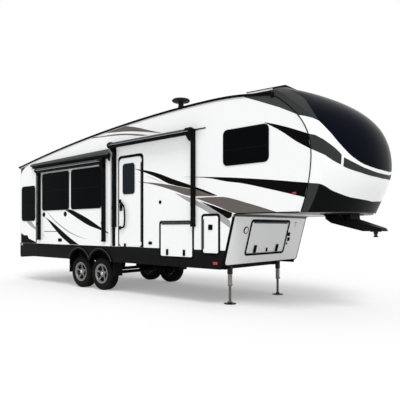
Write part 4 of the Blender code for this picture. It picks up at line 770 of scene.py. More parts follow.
# Edges of the films: how far inwards of the crease, and the rib
capLines = {
    "browLow": ((0.04, 6.28), (0.078, 5.45), (0.172, 4.3), (0.329, 3.47), (0.531, 3.03), (0.816, 2.84),
                (1.0, 2.82)),
    "browHigh": ((0.04, 6.28), (0.061, 7.08), (0.116, 8.05), (0.19, 9.07), (0.207, 10.1), (0.222, 11.0),
                 (1.0, 11.0)),
    "templeLow": ((-0.1, 7.03), (-0.025, 6.72), (0.04, 6.28)),
    "crown": ((-0.2, 11.0), (1.0, 11.0)),
    "chinTop": ((-0.1, 1.95), (0, 1.87), (0.189, 1.42), (0.506, 1.03), (1.0, 0.85)),
    "foot": ((-0.2, 0.0), (1.0, 0.0)),
    "bandHigh": ((-0.1, 5.28), (-0.05, 5.1), (0, 4.68), (0.106, 4.05), (0.18, 3.62)),
    "bandLow": ((-0.1, 4.12), (-0.012, 3.67), (0.095, 3.25), (0.18, 3.02)),
    "eyeHigh": ((0.21, 3.45), (0.332, 3.17), (0.541, 2.82), (0.833, 2.62), (1, 2.60)),
    "eyeLow": ((0.21, 2.93), (0.228, 2.87), (0.447, 2.57), (0.698, 2.38), (1, 2.32)),
}
# Grey films of each side: columns, low and high edge, rows, height. The chin's side strip is a lit copy of the
# black chin, grey as painted light on its side return
capSides = {
    "capTemple": ((1.1, 1.05, 1.0, 0.98, 0.96), "templeLow", "crown", 40, cap["filmUnder"]),
    "capBrowEdge": (cap["browColumns"], "browHigh", "crown", 30, cap["filmUnder"]),
    "capBand": ((1.1, 1.05, 1.0, 0.98, 0.95, 0.92, 0.89, 0.86, 0.84, 0.82), "bandLow", "bandHigh", 16,
                cap["filmLift"]),
    # Painted light: the chin between seam and crease is grey, a lit copy of the black chin
    "capChinLitSide": ((1.1, 1.075, 1.05, 1.025, 1.0), "foot", "chinTop", 20, cap["filmLift"]),
}


def ribAt(rib):
    ribs = cap["ribs"]
    k = min(int(rib), len(ribs) - 2)
    t = rib - k
    before, low, high, after = ribs[max(k - 1, 0)], ribs[k], ribs[k + 1], ribs[min(k + 2, len(ribs) - 1)]
    row = []
    for a, b, c, d in zip(before, low, high, after):
        left, right = (c - a) / 2, (d - b) / 2
        row.append(b * (1 + 2 * t) * (1 - t) ** 2 + left * t * (1 - t) ** 2
                   + c * t * t * (3 - 2 * t) + right * t * t * (t - 1))
    return row


def capPoint(across, rib):
    # across runs from -1.1 at the right seam, over -1 at the crease and 0 at the nose, to 1.1
    sideZ, seam, crease, nose, noseZ, boxy, rise = ribAt(rib)
    share = abs(across)
    creaseY = halfWidth - cap["creaseInset"]
    if share <= 1:
        x = nose - (nose - crease) * share ** cap["nosePower"]
        y, z = creaseY * share, noseZ - (noseZ - sideZ - rise) * share ** boxy
    else:
        part = (share - 1) / 0.1
        x, y, z = crease + (seam - crease) * part, creaseY + cap["creaseInset"] * part, sideZ + rise * (1 - part)
    return at(deckLength + x, math.copysign(y, across), z)


def capSurface(across, rib, lift):
    step = 0.012
    low, high = max(rib - step, 0.0), min(rib + step, lastRib)
    up = capPoint(across, high) - capPoint(across, low)
    side = capPoint(across + step, rib) - capPoint(across - step, rib)
    if abs(abs(across) - 1) < step:
        inward = math.copysign(1 - step * 1.01, across)
        side = capPoint(inward + step, rib) - capPoint(inward - step, rib)
    out = side.cross(up)
    if out.length < 1e-9:
        out = Vector((1, 0, 0))
    return capPoint(across, rib) + out.normalized() * lift


def capPatch(name, finish, columns, lowName, highName, rows, lift=cap["filmLift"]):
    # A film on the cap between two of its lines
    lowLine, highLine = smoothLine(capLines[lowName]), smoothLine(capLines[highName])

    def where(s, t):
        across = columns[round(s * (len(columns) - 1))]
        share = 1 - abs(across)
        low, high = lowLine(share), highLine(share)
        return capSurface(across, low + (high - low) * t, lift)

    piece = gridPiece(len(columns) - 1, rows, where)
    applyModifier(piece, "SOLIDIFY", thickness=cap["filmLift"], offset=-1)
    dress(piece, name, finish, "trailer", "dark_shroud", softAngle=24)


def capColumns(count):
    edge = cap["seamColumns"]
    return [-edge[1], -edge[0]] + evenly(-1, 1, count) + [*edge]


def makeCap():
    columns = capColumns(64)

    def where(s, t):
        return capPoint(columns[round(s * (len(columns) - 1))], lastRib * t)

    shell = gridPiece(len(columns) - 1, 7 * lastRib, where)
    applyModifier(shell, "SOLIDIFY", thickness=cap["thickness"], offset=-1)
    dress(shell, "frontCap", "white", "trailer", "white_gelcoat", ("front_cap",), 24)
    brow = sorted(-column for column in cap["browColumns"])
    forehead = brow + evenly(-0.76, 0.76, 52) + sorted(cap["browColumns"])
    capPatch("capForehead", "glossBlack", forehead, "browLow", "browHigh", 44)
    for side, label in ((-1, "right"), (1, "left")):
        for name, (columns, low, high, rows, lift) in capSides.items():
            across = sorted(side * column for column in columns)
            capPatch(f"{name}_{label}", "matteGrey", across, low, high, rows, lift)
    capPatch("capEyeBand", "matteGrey", evenly(-0.79, 0.79, 56), "eyeLow", "eyeHigh", 8)
    capPatch("capChin", "capBlack", evenly(-1, 1, 60), "foot", "chinTop", 20)
    # Return of the crown down to the roof behind it
    face, edge, bend, drop, back = cap["returnX"]
    loops = []
    for across in capColumns(32):
        ridge = capPoint(across, lastRib)
        y = max(-halfWidth + 0.004, min(halfWidth - 0.004, ridge.y - midY))
        low = roofTop(7.57, y) + cap["returnFoot"]
        top = ridge.z + cap["returnTop"]
        loops.append([at(face, y, top), at(edge, y, top), at(bend, y, top - 0.008),
                      at(drop, y, max(top - 0.025, low)), at(back, y, low), at(face, y, low)])
    dress(loftPiece(loops), "crownReturn", "matteGrey", "trailer", "dark_shroud", softAngle=40)


makeCap()
print("front cap")

# Seams, gutters and corner mouldings

trim = {
    "seamRadius": 0.0085, "gutterHeight": 0.042, "gutterProud": 0.013, "gutterLift": 0.016, "overhang": 0.075,
    "gutterEnd": 7.672, "climbStart": 7.25, "endRise": 0.040, "barRadius": 0.009, "bar": (7.664, 3.404),
    "rearEdge": 2.940, "cornerZ": (0.705, 2.895),
}


def makeTrims():
    for side, label in ((-1, "right"), (1, "left")):
        face = side * (halfWidth + 0.001)
        seam = [(deckLength + row[1], face, row[0]) for row in cap["ribs"][:-1]]
        seam.append((deckLength + 0.755, face, 3.388))
        dress(tubePiece(seam, trim["seamRadius"]), f"capSeam_{label}", "seal")
        inner, outer = side * (halfWidth - 0.004), side * (halfWidth + trim["gutterProud"])
        lip = side * (halfWidth + trim["gutterProud"] - 0.005)
        loops = []
        for x in evenly(-trim["overhang"], trim["gutterEnd"], 60):
            climb = max(0.0, (x - trim["climbStart"]) / (trim["gutterEnd"] - trim["climbStart"]))
            top = roofHeight(max(x, 0)) + trim["gutterLift"] + trim["endRise"] * climb ** 1.5
            low = top - trim["gutterHeight"] - 0.018 * climb
            loops.append([at(x, inner, low), at(x, outer, low), at(x, outer, low + 0.012), at(x, lip, low + 0.016),
                          at(x, lip, top - 0.004), at(x, side * (halfWidth + 0.004), top), at(x, inner, top)])
        near, far = sorted((side * 1.2205, side * 1.2365))
        spout = boxPiece((7.630, near, 3.368), (7.690, far, 3.452), 0.005)
        rail = joinPieces([loftPiece(loops), spout])
        dress(rail, f"gutter_{label}", "plastic", softAngle=25)
    # Termination bar where the roof skin meets the cap
    barX, barZ = trim["bar"]
    bar = [(barX, y, barZ + camberAt(y) + 0.003) for y in evenly(-1.19, 1.19, 16)]
    dress(tubePiece(bar, trim["barRadius"]), "roofBar", "seal")
    # Rear roof edge and the rear corners
    loops = []
    for y in evenly(-1.233, 1.233, 24):
        top = trim["rearEdge"] + camberAt(min(abs(y), halfWidth)) + 0.004
        loops.append([at(x, y, top + rise) for x, rise in (
            (-0.075, -0.030), (-0.075, -0.004), (-0.070, 0.0), (0.02, 0.004), (0.02, -0.002), (-0.004, -0.006),
            (-0.004, -0.056), (-0.030, -0.056), (-0.034, -0.034))])
    dress(loftPiece(loops), "rearGutter", "plastic", softAngle=25)
    for side, label in ((-1, "right"), (1, "left")):
        face, outer, inner = side * halfWidth, side * (halfWidth + 0.003), side * (halfWidth - 0.03)
        corner = []
        for z in trim["cornerZ"]:
            corner.append([at(0.03, outer, z), at(-0.002, outer, z), at(-0.004, side * (halfWidth + 0.001), z),
                           at(-0.004, inner, z), at(-0.001, inner, z), at(0.0, face, z), at(0.03, face, z)])
        name = f"rearCorner_{label}"
        dress(loftPiece(corner), name, "whitePlastic", "trailer", "white_gelcoat")


makeTrims()
print("trims")

# Stripes of the side graphics: finish, thickness, upper line and lower line in places (forward, up)

stripes = {
    "swooshBlack": ("blackFilm", 0.0012,
        ((4.452, 2.527), (4.677, 2.491), (4.931, 2.438), (5.176, 2.371), (5.478, 2.265), (5.893, 2.134),
         (6.105, 2.064), (6.311, 1.997), (6.553, 1.906)),
        ((4.452, 2.525), (4.565, 2.492), (4.787, 2.42), (5.072, 2.318), (5.429, 2.167), (5.893, 2.065),
         (6.105, 2.022), (6.398, 1.931), (6.553, 1.902))),
    "swooshTaupe": ("taupeFilm", 0.0009,
        ((4.565, 2.263), (4.677, 2.25), (5.037, 2.21), (5.478, 2.14), (5.924, 2.052), (6.105, 2.019),
         (6.34, 1.963), (6.566, 1.898)),
        ((4.565, 2.261), (4.64, 2.243), (4.859, 2.209), (5.21, 2.127), (5.576, 2.024), (5.893, 1.928),
         (6.105, 1.907), (6.525, 1.895), (6.566, 1.896))),
    "swooshHair": ("greyFilm", 0.0008,
        ((4.805, 2.364), (5.037, 2.286), (5.261, 2.193)),
        ((4.805, 2.361), (5.037, 2.274), (5.261, 2.189))),
    "bandGrey": ("greyFilm", 0.0008,
        ((5.576, 1.989), (5.924, 1.892), (6.135, 1.816), (6.454, 1.683), (6.785, 1.503), (6.842, 1.455)),
        ((5.576, 1.985), (5.673, 1.933), (5.893, 1.825), (6.076, 1.75), (6.311, 1.643), (6.566, 1.506),
         (6.785, 1.376), (6.836, 1.345))),
    "wedgeBlack": ("blackFilm", 0.0012,
        ((6.195, 1.813), (6.511, 1.719), (6.882, 1.597)),
        ((6.195, 1.809), (6.454, 1.683), (6.677, 1.569), (6.811, 1.503), (6.868, 1.535))),
    "bandTaupe": ("taupeFilm", 0.001,
        ((6.076, 1.879), (6.34, 1.881), (6.578, 1.876), (6.677, 1.871), (7.209, 1.745), (7.733, 1.594)),
        ((6.076, 1.874), (6.54, 1.727), (7.0, 1.584), (7.02, 1.5835), (7.733, 1.5835))),
    "browBlack": ("blackFilm", 0.0012,
        ((5.799, 2.273), (6.061, 2.254), (6.511, 2.218), (6.742, 2.197), (7.501, 2.113), (8.266, 2.011)),
        ((5.799, 2.271), (6.061, 2.245), (6.369, 2.21), (6.785, 2.122), (7.006, 2.09), (7.641, 1.945),
         (8.212, 1.801))),
    "windowBlack": ("blackFilm", 0.0012,
        ((7.513, 3.01), (7.733, 2.942), (7.956, 2.862), (8.268, 2.734)),
        ((7.513, 3.006), (7.823, 2.822), (8.086, 2.635), (8.306, 2.506))),
    "rearGrey": ("greyFilm", 0.0008,
        ((0.28, 1.542), (0.499, 1.524), (0.635, 1.442), (0.774, 1.345)),
        ((0.28, 1.54), (0.406, 1.443), (0.592, 1.361), (0.774, 1.297))),
    "roofTaupe": ("taupeFilm", 0.001,
        ((3.55, 3.36), (3.979, 3.44), (4.18, 3.417), (4.452, 3.361), (4.931, 3.225), (5.21, 3.144)),
        ((3.55, 3.355), (3.647, 3.35), (4.18, 3.308), (4.75, 3.225), (5.21, 3.139))),
    "roofTaupeThin": ("taupeFilm", 0.0008,
        ((3.05, 3.33), (3.343, 3.313), (3.773, 3.301), (4.18, 3.264), (4.677, 3.184), (4.841, 3.149)),
        ((3.05, 3.306), (3.343, 3.294), (3.773, 3.272), (4.18, 3.236), (4.677, 3.159), (4.841, 3.146))),
}
# Stripes with straight edges, as whole outlines
shards = {
    "rearJagged": ("blackFilm",
        ((0.006, 0.968), (0.774, 0.968), (0.774, 0.994), (0.406, 1.085), (0.344, 1.166), (0.185, 1.164),
         (0.006, 1.229))),
    "rearCornerDark": ("darkFilm",
        ((0.006, 2.894), (0.006, 2.74), (0.043, 2.756), (0.089, 2.819), (0.249, 2.915), (0.42, 2.957))),
    "templeDark": ("darkFilm",
        ((7.133, 3.47), (7.381, 3.368), (7.778, 3.2), (8.099, 3.037), (7.972, 3.17), (7.832, 3.29),
         (7.728, 3.366), (7.655, 3.4), (7.55, 3.43), (7.4, 3.462), (7.3, 3.478), (7.2, 3.492), (7.133, 3.5))),
}
# Stripes on the slide-out, and their like on the left wall
fasciaStripes = {
    "fasciaBlackHigh": ("blackFilm", 0.0012,
        ((2.06, 1.79), (2.2, 1.786), (2.36, 1.762), (2.602, 1.688), (2.981, 1.554), (3.431, 1.358),
         (3.689, 1.251)),
        ((2.06, 1.786), (2.2, 1.728), (2.602, 1.559), (3.028, 1.4), (3.431, 1.304), (3.689, 1.232))),
    "fasciaBlackLow": ("blackFilm", 0.0012,
        ((1.233, 1.624), (1.514, 1.513), (1.945, 1.3), (2.356, 1.098), (2.65, 0.974)),
        ((1.233, 1.618), (1.29, 1.592), (1.624, 1.36), (1.945, 1.152), (2.305, 0.974))),
    "fasciaCurve": ("greyFilm", 0.0008,
        ((1.347, 1.748), (1.514, 1.632), (1.786, 1.48), (2.05, 1.36), (2.356, 1.242), (2.65, 1.162),
         (2.981, 1.103)),
        ((1.347, 1.744), (1.514, 1.61), (1.786, 1.45), (2.05, 1.33), (2.356, 1.217), (2.65, 1.147),
         (2.981, 1.101))),
    "fasciaLine": ("blackFilm", 0.0008,
        ((1.205, 1.275), (1.803, 1.275)),
        ((1.205, 1.261), (1.803, 1.261))),
    "fasciaDash": ("greyFilm", 0.0008,
        ((1.119, 1.2), (1.29, 1.118)),
        ((1.119, 1.186), (1.29, 1.11))),
}
leftStripes = {
    "leftBlackHigh": ("blackFilm", 0.0012,
        ((2.62, 1.675), (2.981, 1.554), (3.431, 1.358), (3.8, 1.215)),
        ((2.62, 1.667), (2.8, 1.52), (3.028, 1.4), (3.431, 1.304), (3.8, 1.205))),
    "leftBlackLow": ("blackFilm", 0.0012,
        ((1.38, 1.57), (1.514, 1.513), (1.945, 1.3), (2.356, 1.098), (2.65, 0.974)),
        ((1.38, 1.562), (1.45, 1.5), (1.624, 1.36), (1.945, 1.152), (2.305, 0.974))),
    "leftCurve": ("greyFilm", 0.0008,
        ((1.66, 1.56), (1.786, 1.48), (2.05, 1.36), (2.356, 1.242), (2.65, 1.162), (2.981, 1.103)),
        ((1.66, 1.552), (1.786, 1.45), (2.05, 1.33), (2.356, 1.217), (2.65, 1.147), (2.981, 1.101))),
}


def stripeLoop(top, low, rear=0.0, front=9.0):
    loop = []
    for points, backwards in ((top, False), (low, True)):
        line = smoothLine(points)
        xs = evenly(max(points[0][0], rear), min(points[-1][0], front), 26)
        if backwards:
            xs.reverse()
        loop += [(x, min(line(x), roofHeight(x) - 0.038)) for x in xs]
    return loop


# Stripes that cross the entry door: their part on the door, and where they start beside it on each wall
doorStripes = {
    "part": (4.46, 4.652),
    "swooshBlack": {"right": 4.706, "left": 0.0},
    "swooshTaupe": {"right": 4.706, "left": 4.60},
}


def stripePiece(row, plane, face, ends=()):
    thick, top, low = row
    return flatPiece([stripeLoop(top, low, *ends)], plane, face, thick)


def makeStripes():
    for name, (finish, *row) in stripes.items():
        starts = doorStripes.get(name)
        for plane in ("right", "left"):
            piece = stripePiece(row, plane, halfWidth, (starts[plane],) if starts else ())
            dress(piece, f"{name}_{plane}", finish, "trailer", "white_gelcoat")
        if starts:
            piece = stripePiece(row, "right", halfWidth, doorStripes["part"])
            dress(piece, f"{name}_door", finish, "entry", "white_gelcoat")
    for name, (finish, loop) in shards.items():
        for plane in ("right", "left"):
            piece = flatPiece([loop], plane, halfWidth, 0.001)
            dress(piece, f"{name}_{plane}", finish, "trailer", "white_gelcoat")
    for name, (finish, *row) in fasciaStripes.items():
        dress(stripePiece(row, "right", fasciaFace), name, finish, "slide_out", "white_gelcoat")
    for name, (finish, *row) in leftStripes.items():
        dress(stripePiece(row, "left", halfWidth), name, finish, "trailer", "white_gelcoat")


makeStripes()
print("stripes")

# Windows: a frame round each pane, and the bar of its opening sash

windows = {
    # opening, plane, face, body, frame finish, frame width, share of the height where the sash bar lies
    "rearSide": ((0.10, 0.70, 1.555, 2.39), "right", halfWidth, "trailer", "plastic", 0.010, 0.44),
    "bedRight": ((6.72, 7.57, 2.41, 2.96), "right", halfWidth, "trailer", "plastic", 0.010, 0.42),
    "bedLeft": ((6.72, 7.57, 2.41, 2.96), "left", halfWidth, "trailer", "plastic", 0.010, 0.42),
    "living": ((1.10, 2.55, 1.60, 2.40), "left", halfWidth, "trailer", "plastic", 0.010, 0.40),
    "galley": ((3.55, 4.55, 1.75, 2.40), "left", halfWidth, "trailer", "plastic", 0.010, 0.40),
    "tail": ((-0.70, 0.70, 1.60, 2.35), "rear", 0.0, "trailer", "plastic", 0.010, 0.40),
    "slideRear": ((1.15, 2.265, 1.785, 2.65), "right", fasciaFace, "slide_out", "edging", 0.006, 0.52),
    "slideFront": ((2.36, 3.45, 1.785, 2.65), "right", fasciaFace, "slide_out", "edging", 0.006, 0.52),
}
windowShape = {
    # frame's reach past the opening, its corner and depth, and how far out the pane's face lies; sash bar's
    # inset, half height and depth; gasket's corner, width and depth
    "reach": 0.016, "corner": 0.076, "depth": 0.0115, "pane": 0.0083,
    "sash": (0.004, 0.006, 0.0022), "gasket": (0.060, 0.005, 0.0012),
}


def makeWindows():
    inset, half, barDepth = windowShape["sash"]
    corner, wide, depth = windowShape["gasket"]
    for name, (opening, plane, face, body, finish, width, share) in windows.items():
        rim, pane = grown(opening, windowShape["reach"]), face + windowShape["pane"]
        ring = ringPiece(rim, windowShape["corner"], (width,) * 4, plane, face, windowShape["depth"])
        dress(ring, f"{name}Frame", finish, body)
        level = opening[2] + share * (opening[3] - opening[2])
        bar = roundedLoop((opening[0] + inset, opening[1] - inset, level - half, level + half), 0.002, 2)
        dress(flatPiece([bar], plane, pane, barDepth), f"{name}Sash", "seal", body)
        gasket = ringPiece(opening, corner, (wide,) * 4, plane, pane, depth, 0.0004)
        dress(gasket, f"{name}Gasket", "seal", body)


makeWindows()
print("windows")

# Entry door, hatches and their frames

doors = {
    # a frame has its widths at the rear, the front, the foot and the head; latches have shares of the leaf
    "entry": {"opening": (3.98, 4.66, 0.968, 2.77), "corner": 0.09, "frame": (0.024, 0.047, 0.001, 0.050),
              "window": (4.115, 4.45, 2.047, 2.635)},
    "baggage": {"opening": (5.20, 6.00, 0.82, 1.435), "corner": 0.031, "frame": (0.036, 0.036, 0.022, 0.046),
                "latches": ((0.22, 0.12), (0.76, 0.12))},
    "utility": {"opening": (6.25, 6.59, 0.91, 1.555), "corner": 0.031, "frame": (0.036, 0.038, 0.034, 0.038),
                "latches": ((0.5, 0.70),)},
    "leafGap": 0.006,
    "knob": ((0.0, -0.018), (0.016, -0.018), (0.019, -0.014), (0.020, 0.0), (0.0, 0.0)),
    # places along the door and up it, and how far the bar stands off the door
    "grab": ((4.02, 1.35, 0.002), (4.02, 1.352, 0.030), (4.045, 1.353, 0.045), (4.13, 1.358, 0.045),
             (4.180, 1.385, 0.045), (4.195, 1.44, 0.045), (4.195, 1.70, 0.045), (4.172, 1.79, 0.045),
             (4.10, 1.86, 0.045), (4.04, 1.895, 0.043), (4.02, 1.90, 0.028), (4.02, 1.90, 0.002)),
    "grabMounts": (1.352, 1.898),
    "grabRadius": 0.017,
}


def doorBox(low, high, near, far, soft, segments=2):
    # A box on the door side's face; near and far count outwards from it
    (x0, z0), (x1, z1) = low, high
    return boxPiece((x0, -halfWidth - far, z0), (x1, -halfWidth - near, z1), soft, segments)


def makeEntry():
    row = doors["entry"]
    opening = row["opening"]
    inner = (opening[0] - 0.001, opening[1] + 0.0095, opening[2], opening[3] + 0.001)
    ring = ringPiece(inner, row["corner"], row["frame"], "right", halfWidth, 0.0065)
    feet = [doorBox((low, 0.966), (high, 1.10), -0.0005, 0.0065, 0.001, 1)
            for low, high in ((inner[0] - 0.024, inner[0] - 0.0005), (inner[1] + 0.0005, inner[1] + 0.047))]
    dress(joinPieces([ring, *feet]), "entryFrame", "frameGrey")
    rim = ringPiece(grown(row["window"], 0.016), 0.070, (0.007,) * 4, "right", halfWidth, 0.0105)
    dress(rim, "doorPaneFrame", "edging", "entry")
    # Pull handle with its escutcheon, foot catch and grab bar
    plate = platePiece((4.004, 4.086, 1.70, 1.87), 0.014, "right", halfWidth + 0.0004, 0.012, 0.002)
    dress(plate, "lockPlate", "plastic", "entry")
    dress(doorBox((4.018, 1.745), (4.074, 1.83), 0.0125, 0.024, 0.004), "lockPull", "plastic", "entry")
    catch = doorBox((4.140, 0.972), (4.196, 1.035), 0.0004, 0.014, 0.003)
    dress(catch, "footCatch", "plastic", "entry")
    bar = [(x, -halfWidth - proud, z) for x, z, proud in doors["grab"]]
    grab = tubePiece(bar, doors["grabRadius"], 6)
    mounts = [doorBox((3.995, z - 0.035), (4.047, z + 0.035), 0.0004, 0.020, 0.005)
              for z in doors["grabMounts"]]
    dress(joinPieces([grab, *mounts]), "grabBar", "plastic", "entry", stands=("grab_handle",))


def latchPiece(x, z, side):
    # Paddle latch: a surround with its sunk paddle
    face, outer, tip = (side * (outerFace + proud) for proud in (0.0004, 0.0165, 0.022))
    low, high = sorted((face, outer))
    surround = boxPiece((x - 0.026, low, z - 0.056), (x + 0.026, high, z + 0.056), 0.004)
    low, high = sorted((outer, tip))
    paddle = boxPiece((x - 0.016, low, z - 0.045), (x + 0.016, high, z + 0.018), 0.0025)
    return joinPieces([surround, paddle])


def hatchFrame(row, plane):
    return ringPiece(grown(row["opening"], 0.001), row["corner"], row["frame"], plane, halfWidth + 0.0004, 0.0088)


def latchPlaces(row):
    x0, x1, z0, z1 = grown(row["opening"], -doors["leafGap"])
    return [(x0 + along * (x1 - x0), z0 + up * (z1 - z0)) for along, up in row["latches"]]


def makeHatches():
    # Frames, on the wall above and the skirt below, and what shuts each leaf
    row = doors["baggage"]
    for side, plane in ((-1, "right"), (1, "left")):
        dress(hatchFrame(row, plane), f"baggageFrame_{plane}", "plastic")
        for index, (x, z) in enumerate(latchPlaces(row)):
            name = f"baggageLatch_{plane}_{index}"
            dress(latchPiece(x, z, side), name, "plastic", f"baggage_hatch_{plane}")
    row = doors["utility"]
    dress(hatchFrame(row, "right"), "utilityFrame", "plastic")
    for x, z in latchPlaces(row):
        box = boxRound((x, z), 0.046, 0.046)
        plate = platePiece(box, 0.010, "right", outerFace + 0.0004, 0.010, 0.002)
        knob = lathePiece(doors["knob"], (x, -outerFace - 0.0104, z), "Y", 24)
        dress(joinPieces([plate, knob]), "utilityLatch", "plastic", "utility_hatch")


def makeDoors():
    makeEntry()
    makeHatches()


makeDoors()
print("doors")

# Gooseneck panel: edge moulding, hatch frame, port, locks and marks

panel = {
    "hatch": (-0.66, 0.58, 0.20, 0.78), "port": (-0.81, 0.631), "locks": ((0.675, 0.545), (0.70, 0.445)),
    "coveStart": 0.859, "trimWidth": 0.0195, "trimEnd": 8.13,
    # start, corner and end of the fillet's curve, and the places behind it
    "cove": ((6.927, 1.530), (6.940, 1.5785), (7.000, 1.578)), "coveBack": [(6.9375, 1.5796), (6.9366, 1.5786)],
    # share along the leaf and up it, width and height
    "latches": ((0.20, 0.13, 0.078, 0.140), (0.52, 0.09, 0.034, 0.072), (0.80, 0.13, 0.078, 0.140)),
}


def makePanel():
    half, top = halfWidth + 0.003, panel["coveStart"]
    loop = []
    for out, radius in ((0.0, 0.083), (panel["trimWidth"], 0.064)):
        foot = -0.003 + out
        side = [(half - out, top)]
        for step in range(9):
            angle = math.radians(-90 * step / 8)
            side.append((half - out - radius + radius * math.cos(angle), foot + radius + radius * math.sin(angle)))
        side += [(-y, v) for y, v in reversed(side)]
        loop += side if out == 0.0 else side[::-1]
    moulding = flatPiece([loop], "front", -0.0405, 0.044, 0.0015)
    # Fillet between the panel and the deck, with the same trim swept along it and on along the deck
    start, corner, end = panel["cove"]
    curve = []
    for step in range(13):
        t = step / 12
        curve.append([(1 - t) ** 2 * a + 2 * t * (1 - t) * b + t * t * c for a, b, c in zip(start, corner, end)])
    loops = [[at(x, y, z) for x, z in curve + panel["coveBack"]] for y in evenly(-1.206, 1.206, 4)]
    dress(loftPiece(loops), "neckCove", "panel", "trailer", "pale_grey_panel", softAngle=40)
    pieces = [moulding]
    line = curve + [(end[0] + 0.5, end[1] + 0.0005), (panel["trimEnd"], end[1] + 0.001)]
    for side in (-1, 1):
        loops = []
        for i, (x, z) in enumerate(line):
            before, after = line[max(i - 1, 0)], line[min(i + 1, len(line) - 1)]
            way = Vector((after[0] - before[0], 0, after[1] - before[1])).normalized()
            out = Vector((way.z, 0, -way.x))
            inner, outer = at(x, side * (half - panel["trimWidth"]), z), at(x, side * half, z)
            loops.append([inner + out * 0.0035, outer + out * 0.0035, outer - out * 0.015, inner - out * 0.015])
        pieces.append(loftPiece(loops))
    dress(joinPieces(pieces), "panelEdge", "plastic", softAngle=25)


def makePanelParts():
    hatch = panel["hatch"]
    ring = ringPiece(grown(hatch, 0.001), 0.031, (0.040, 0.040, 0.038, 0.046), "front", 0.0003,
                     0.0085)
    dress(ring, "noseHatchFrame", "plastic")
    leaf = grown(hatch, -doors["leafGap"])
    latches = []
    for share, up, width, height in panel["latches"]:
        y = leaf[0] + share * (leaf[1] - leaf[0])
        v = leaf[2] + up * (leaf[3] - leaf[2])
        box = boxRound((y, v), width / 2, height / 2)
        latches.append(platePiece(box, 0.008, "front", 0.0004, 0.016, 0.003))
        box = (y - width / 4, y + width / 4, v - height / 2.6, v + height / 8)
        latches.append(platePiece(box, 0.004, "front", 0.0164, 0.006, 0.0015))
    dress(joinPieces(latches), "noseHatchLatches", "plastic", "nose_hatch")
    y, v = panel["port"]
    shell = flatPiece([circleLoop((y, v), 0.052)], "front", 0.0003, 0.010, 0.003)
    dress(shell, "portShell", "whitePlastic", "trailer", "white_gelcoat")
    rings = [circleLoop((y, v), 0.064), circleLoop((y + 0.006, v - 0.004), 0.0535)]
    dress(flatPiece(rings, "front", 0.0003, 0.014, 0.002), "portRing", "plastic")
    locks = []
    for place in panel["locks"]:
        locks.append(platePiece(boxRound(place, 0.036, 0.036), 0.006, "front", 0.0003, 0.014, 0.003))
        locks.append(flatPiece([circleLoop(place, 0.014)], "front", 0.0143, 0.006, 0.0015))
    locks.append(platePiece((0.655, 0.690, 0.335, 0.375), 0.006, "front", 0.0003, 0.010, 0.002))
    dress(joinPieces(locks), "panelLocks", "plastic")
    mark = [flatPiece([roundedLoop(box, 0.002, 2)], "front", 0.0003, 0.0012)
            for box in ((0.80, 0.90, 0.780, 0.789), (0.846, 0.854, 0.690, 0.784))]
    dress(joinPieces(mark), "panelMark", "darkFilm")


makePanel()
makePanelParts()
print("front panel")

# Awnings and slide topper

awnings = {
    # ends of the roll, its axis, plane that the arms stand on, foot of the arms, their places, then each head:
    # ends, share of the roll's radius and side of its cover
    "patio": {
        "ends": (3.835, 6.085), "axis": (-1.3453, 3.045), "seat": -1.2208, "foot": 1.372, "arms": (3.83, 6.01),
        "heads": ((3.826, 3.895, 1.0, -1), (5.955, 6.079, 1.0, 1)), "body": "trailer", "stands": "patio_awning",
    },
    "slide": {
        "ends": (1.015, 3.585), "axis": (-1.348, 2.748), "seat": -1.2678, "foot": 1.062, "arms": (1.00, 3.535),
        "heads": ((1.00, 1.045, 0.92, -1), (3.48, 3.60, 1.0, 1)), "body": "slide_out", "stands": "slide_awning",
    },
    "radius": 0.052,
    "armDepth": 0.070,
    "armWidth": 0.065,
    "armWall": 0.005,
    "wallRail": ((-1.2208, 3.080), (-1.2208, 3.098), (-1.2275, 3.100), (-1.2330, 3.096), (-1.2335, 3.084),
                 (-1.2275, 3.0785)),
    "railEnds": (3.80, 6.31),
}


def polyLoft(section, stations, axis="X"):
    # A section moved along an axis; a station is a place and the size there
    middle = [sum(point[i] for point in section) / len(section) for i in (0, 1)]
    loops = []
    for place, grow in stations:
        row = [[centre + (value - centre) * grow for value, centre in zip(point, middle)] for point in section]
        loops.append([at(place, a, b) if axis == "X" else at(a, b, place) for a, b in row])
    return loftPiece(loops)


def armPiece(low, seat, foot, head):
    # Channel open to the wall, with the folded inner arm and a slide knob
    high, wall, outer = low + awnings["armWidth"], awnings["armWall"], seat - awnings["armDepth"]
    section = [(low, seat), (low, outer + 0.004), (low + 0.004, outer), (high - 0.004, outer),
               (high, outer + 0.004), (high, seat), (high - wall, seat), (high - wall, outer + wall),
               (low + wall, outer + wall), (low + wall, seat)]
    pieces = [polyLoft(section, ((foot, 1), (head, 1)), "Z")]
    for inset, proud, start, end in ((0.006, 0.0035, 0.055, 0.10), (0.021, 0.0085, 0.40, 0.16)):
        corners = (low + inset, outer - proud, foot + start), (high - inset, outer + 0.001, head - end)
        pieces.append(boxPiece(*corners, 0.0016, 1))
    middle = (low + high) / 2
    bolt = ((0.0, -0.0085), (0.006, -0.0080), (0.0085, -0.0045), (0.0085, 0.001), (0.0, 0.001))
    for z in (foot + 0.025, foot + 0.30, head - 0.06):
        pieces.append(lathePiece(bolt, (middle, outer, z), "Y", 6))
    shoe = boxPiece((low - 0.003, outer - 0.003, foot - 0.002), (high + 0.003, seat, foot + 0.045), 0.003)
    corners = (low + 0.012, outer - 0.017, foot + 0.36), (high - 0.012, outer - 0.0065, foot + 0.42)
    return pieces + [shoe, boxPiece(*corners, 0.004)]


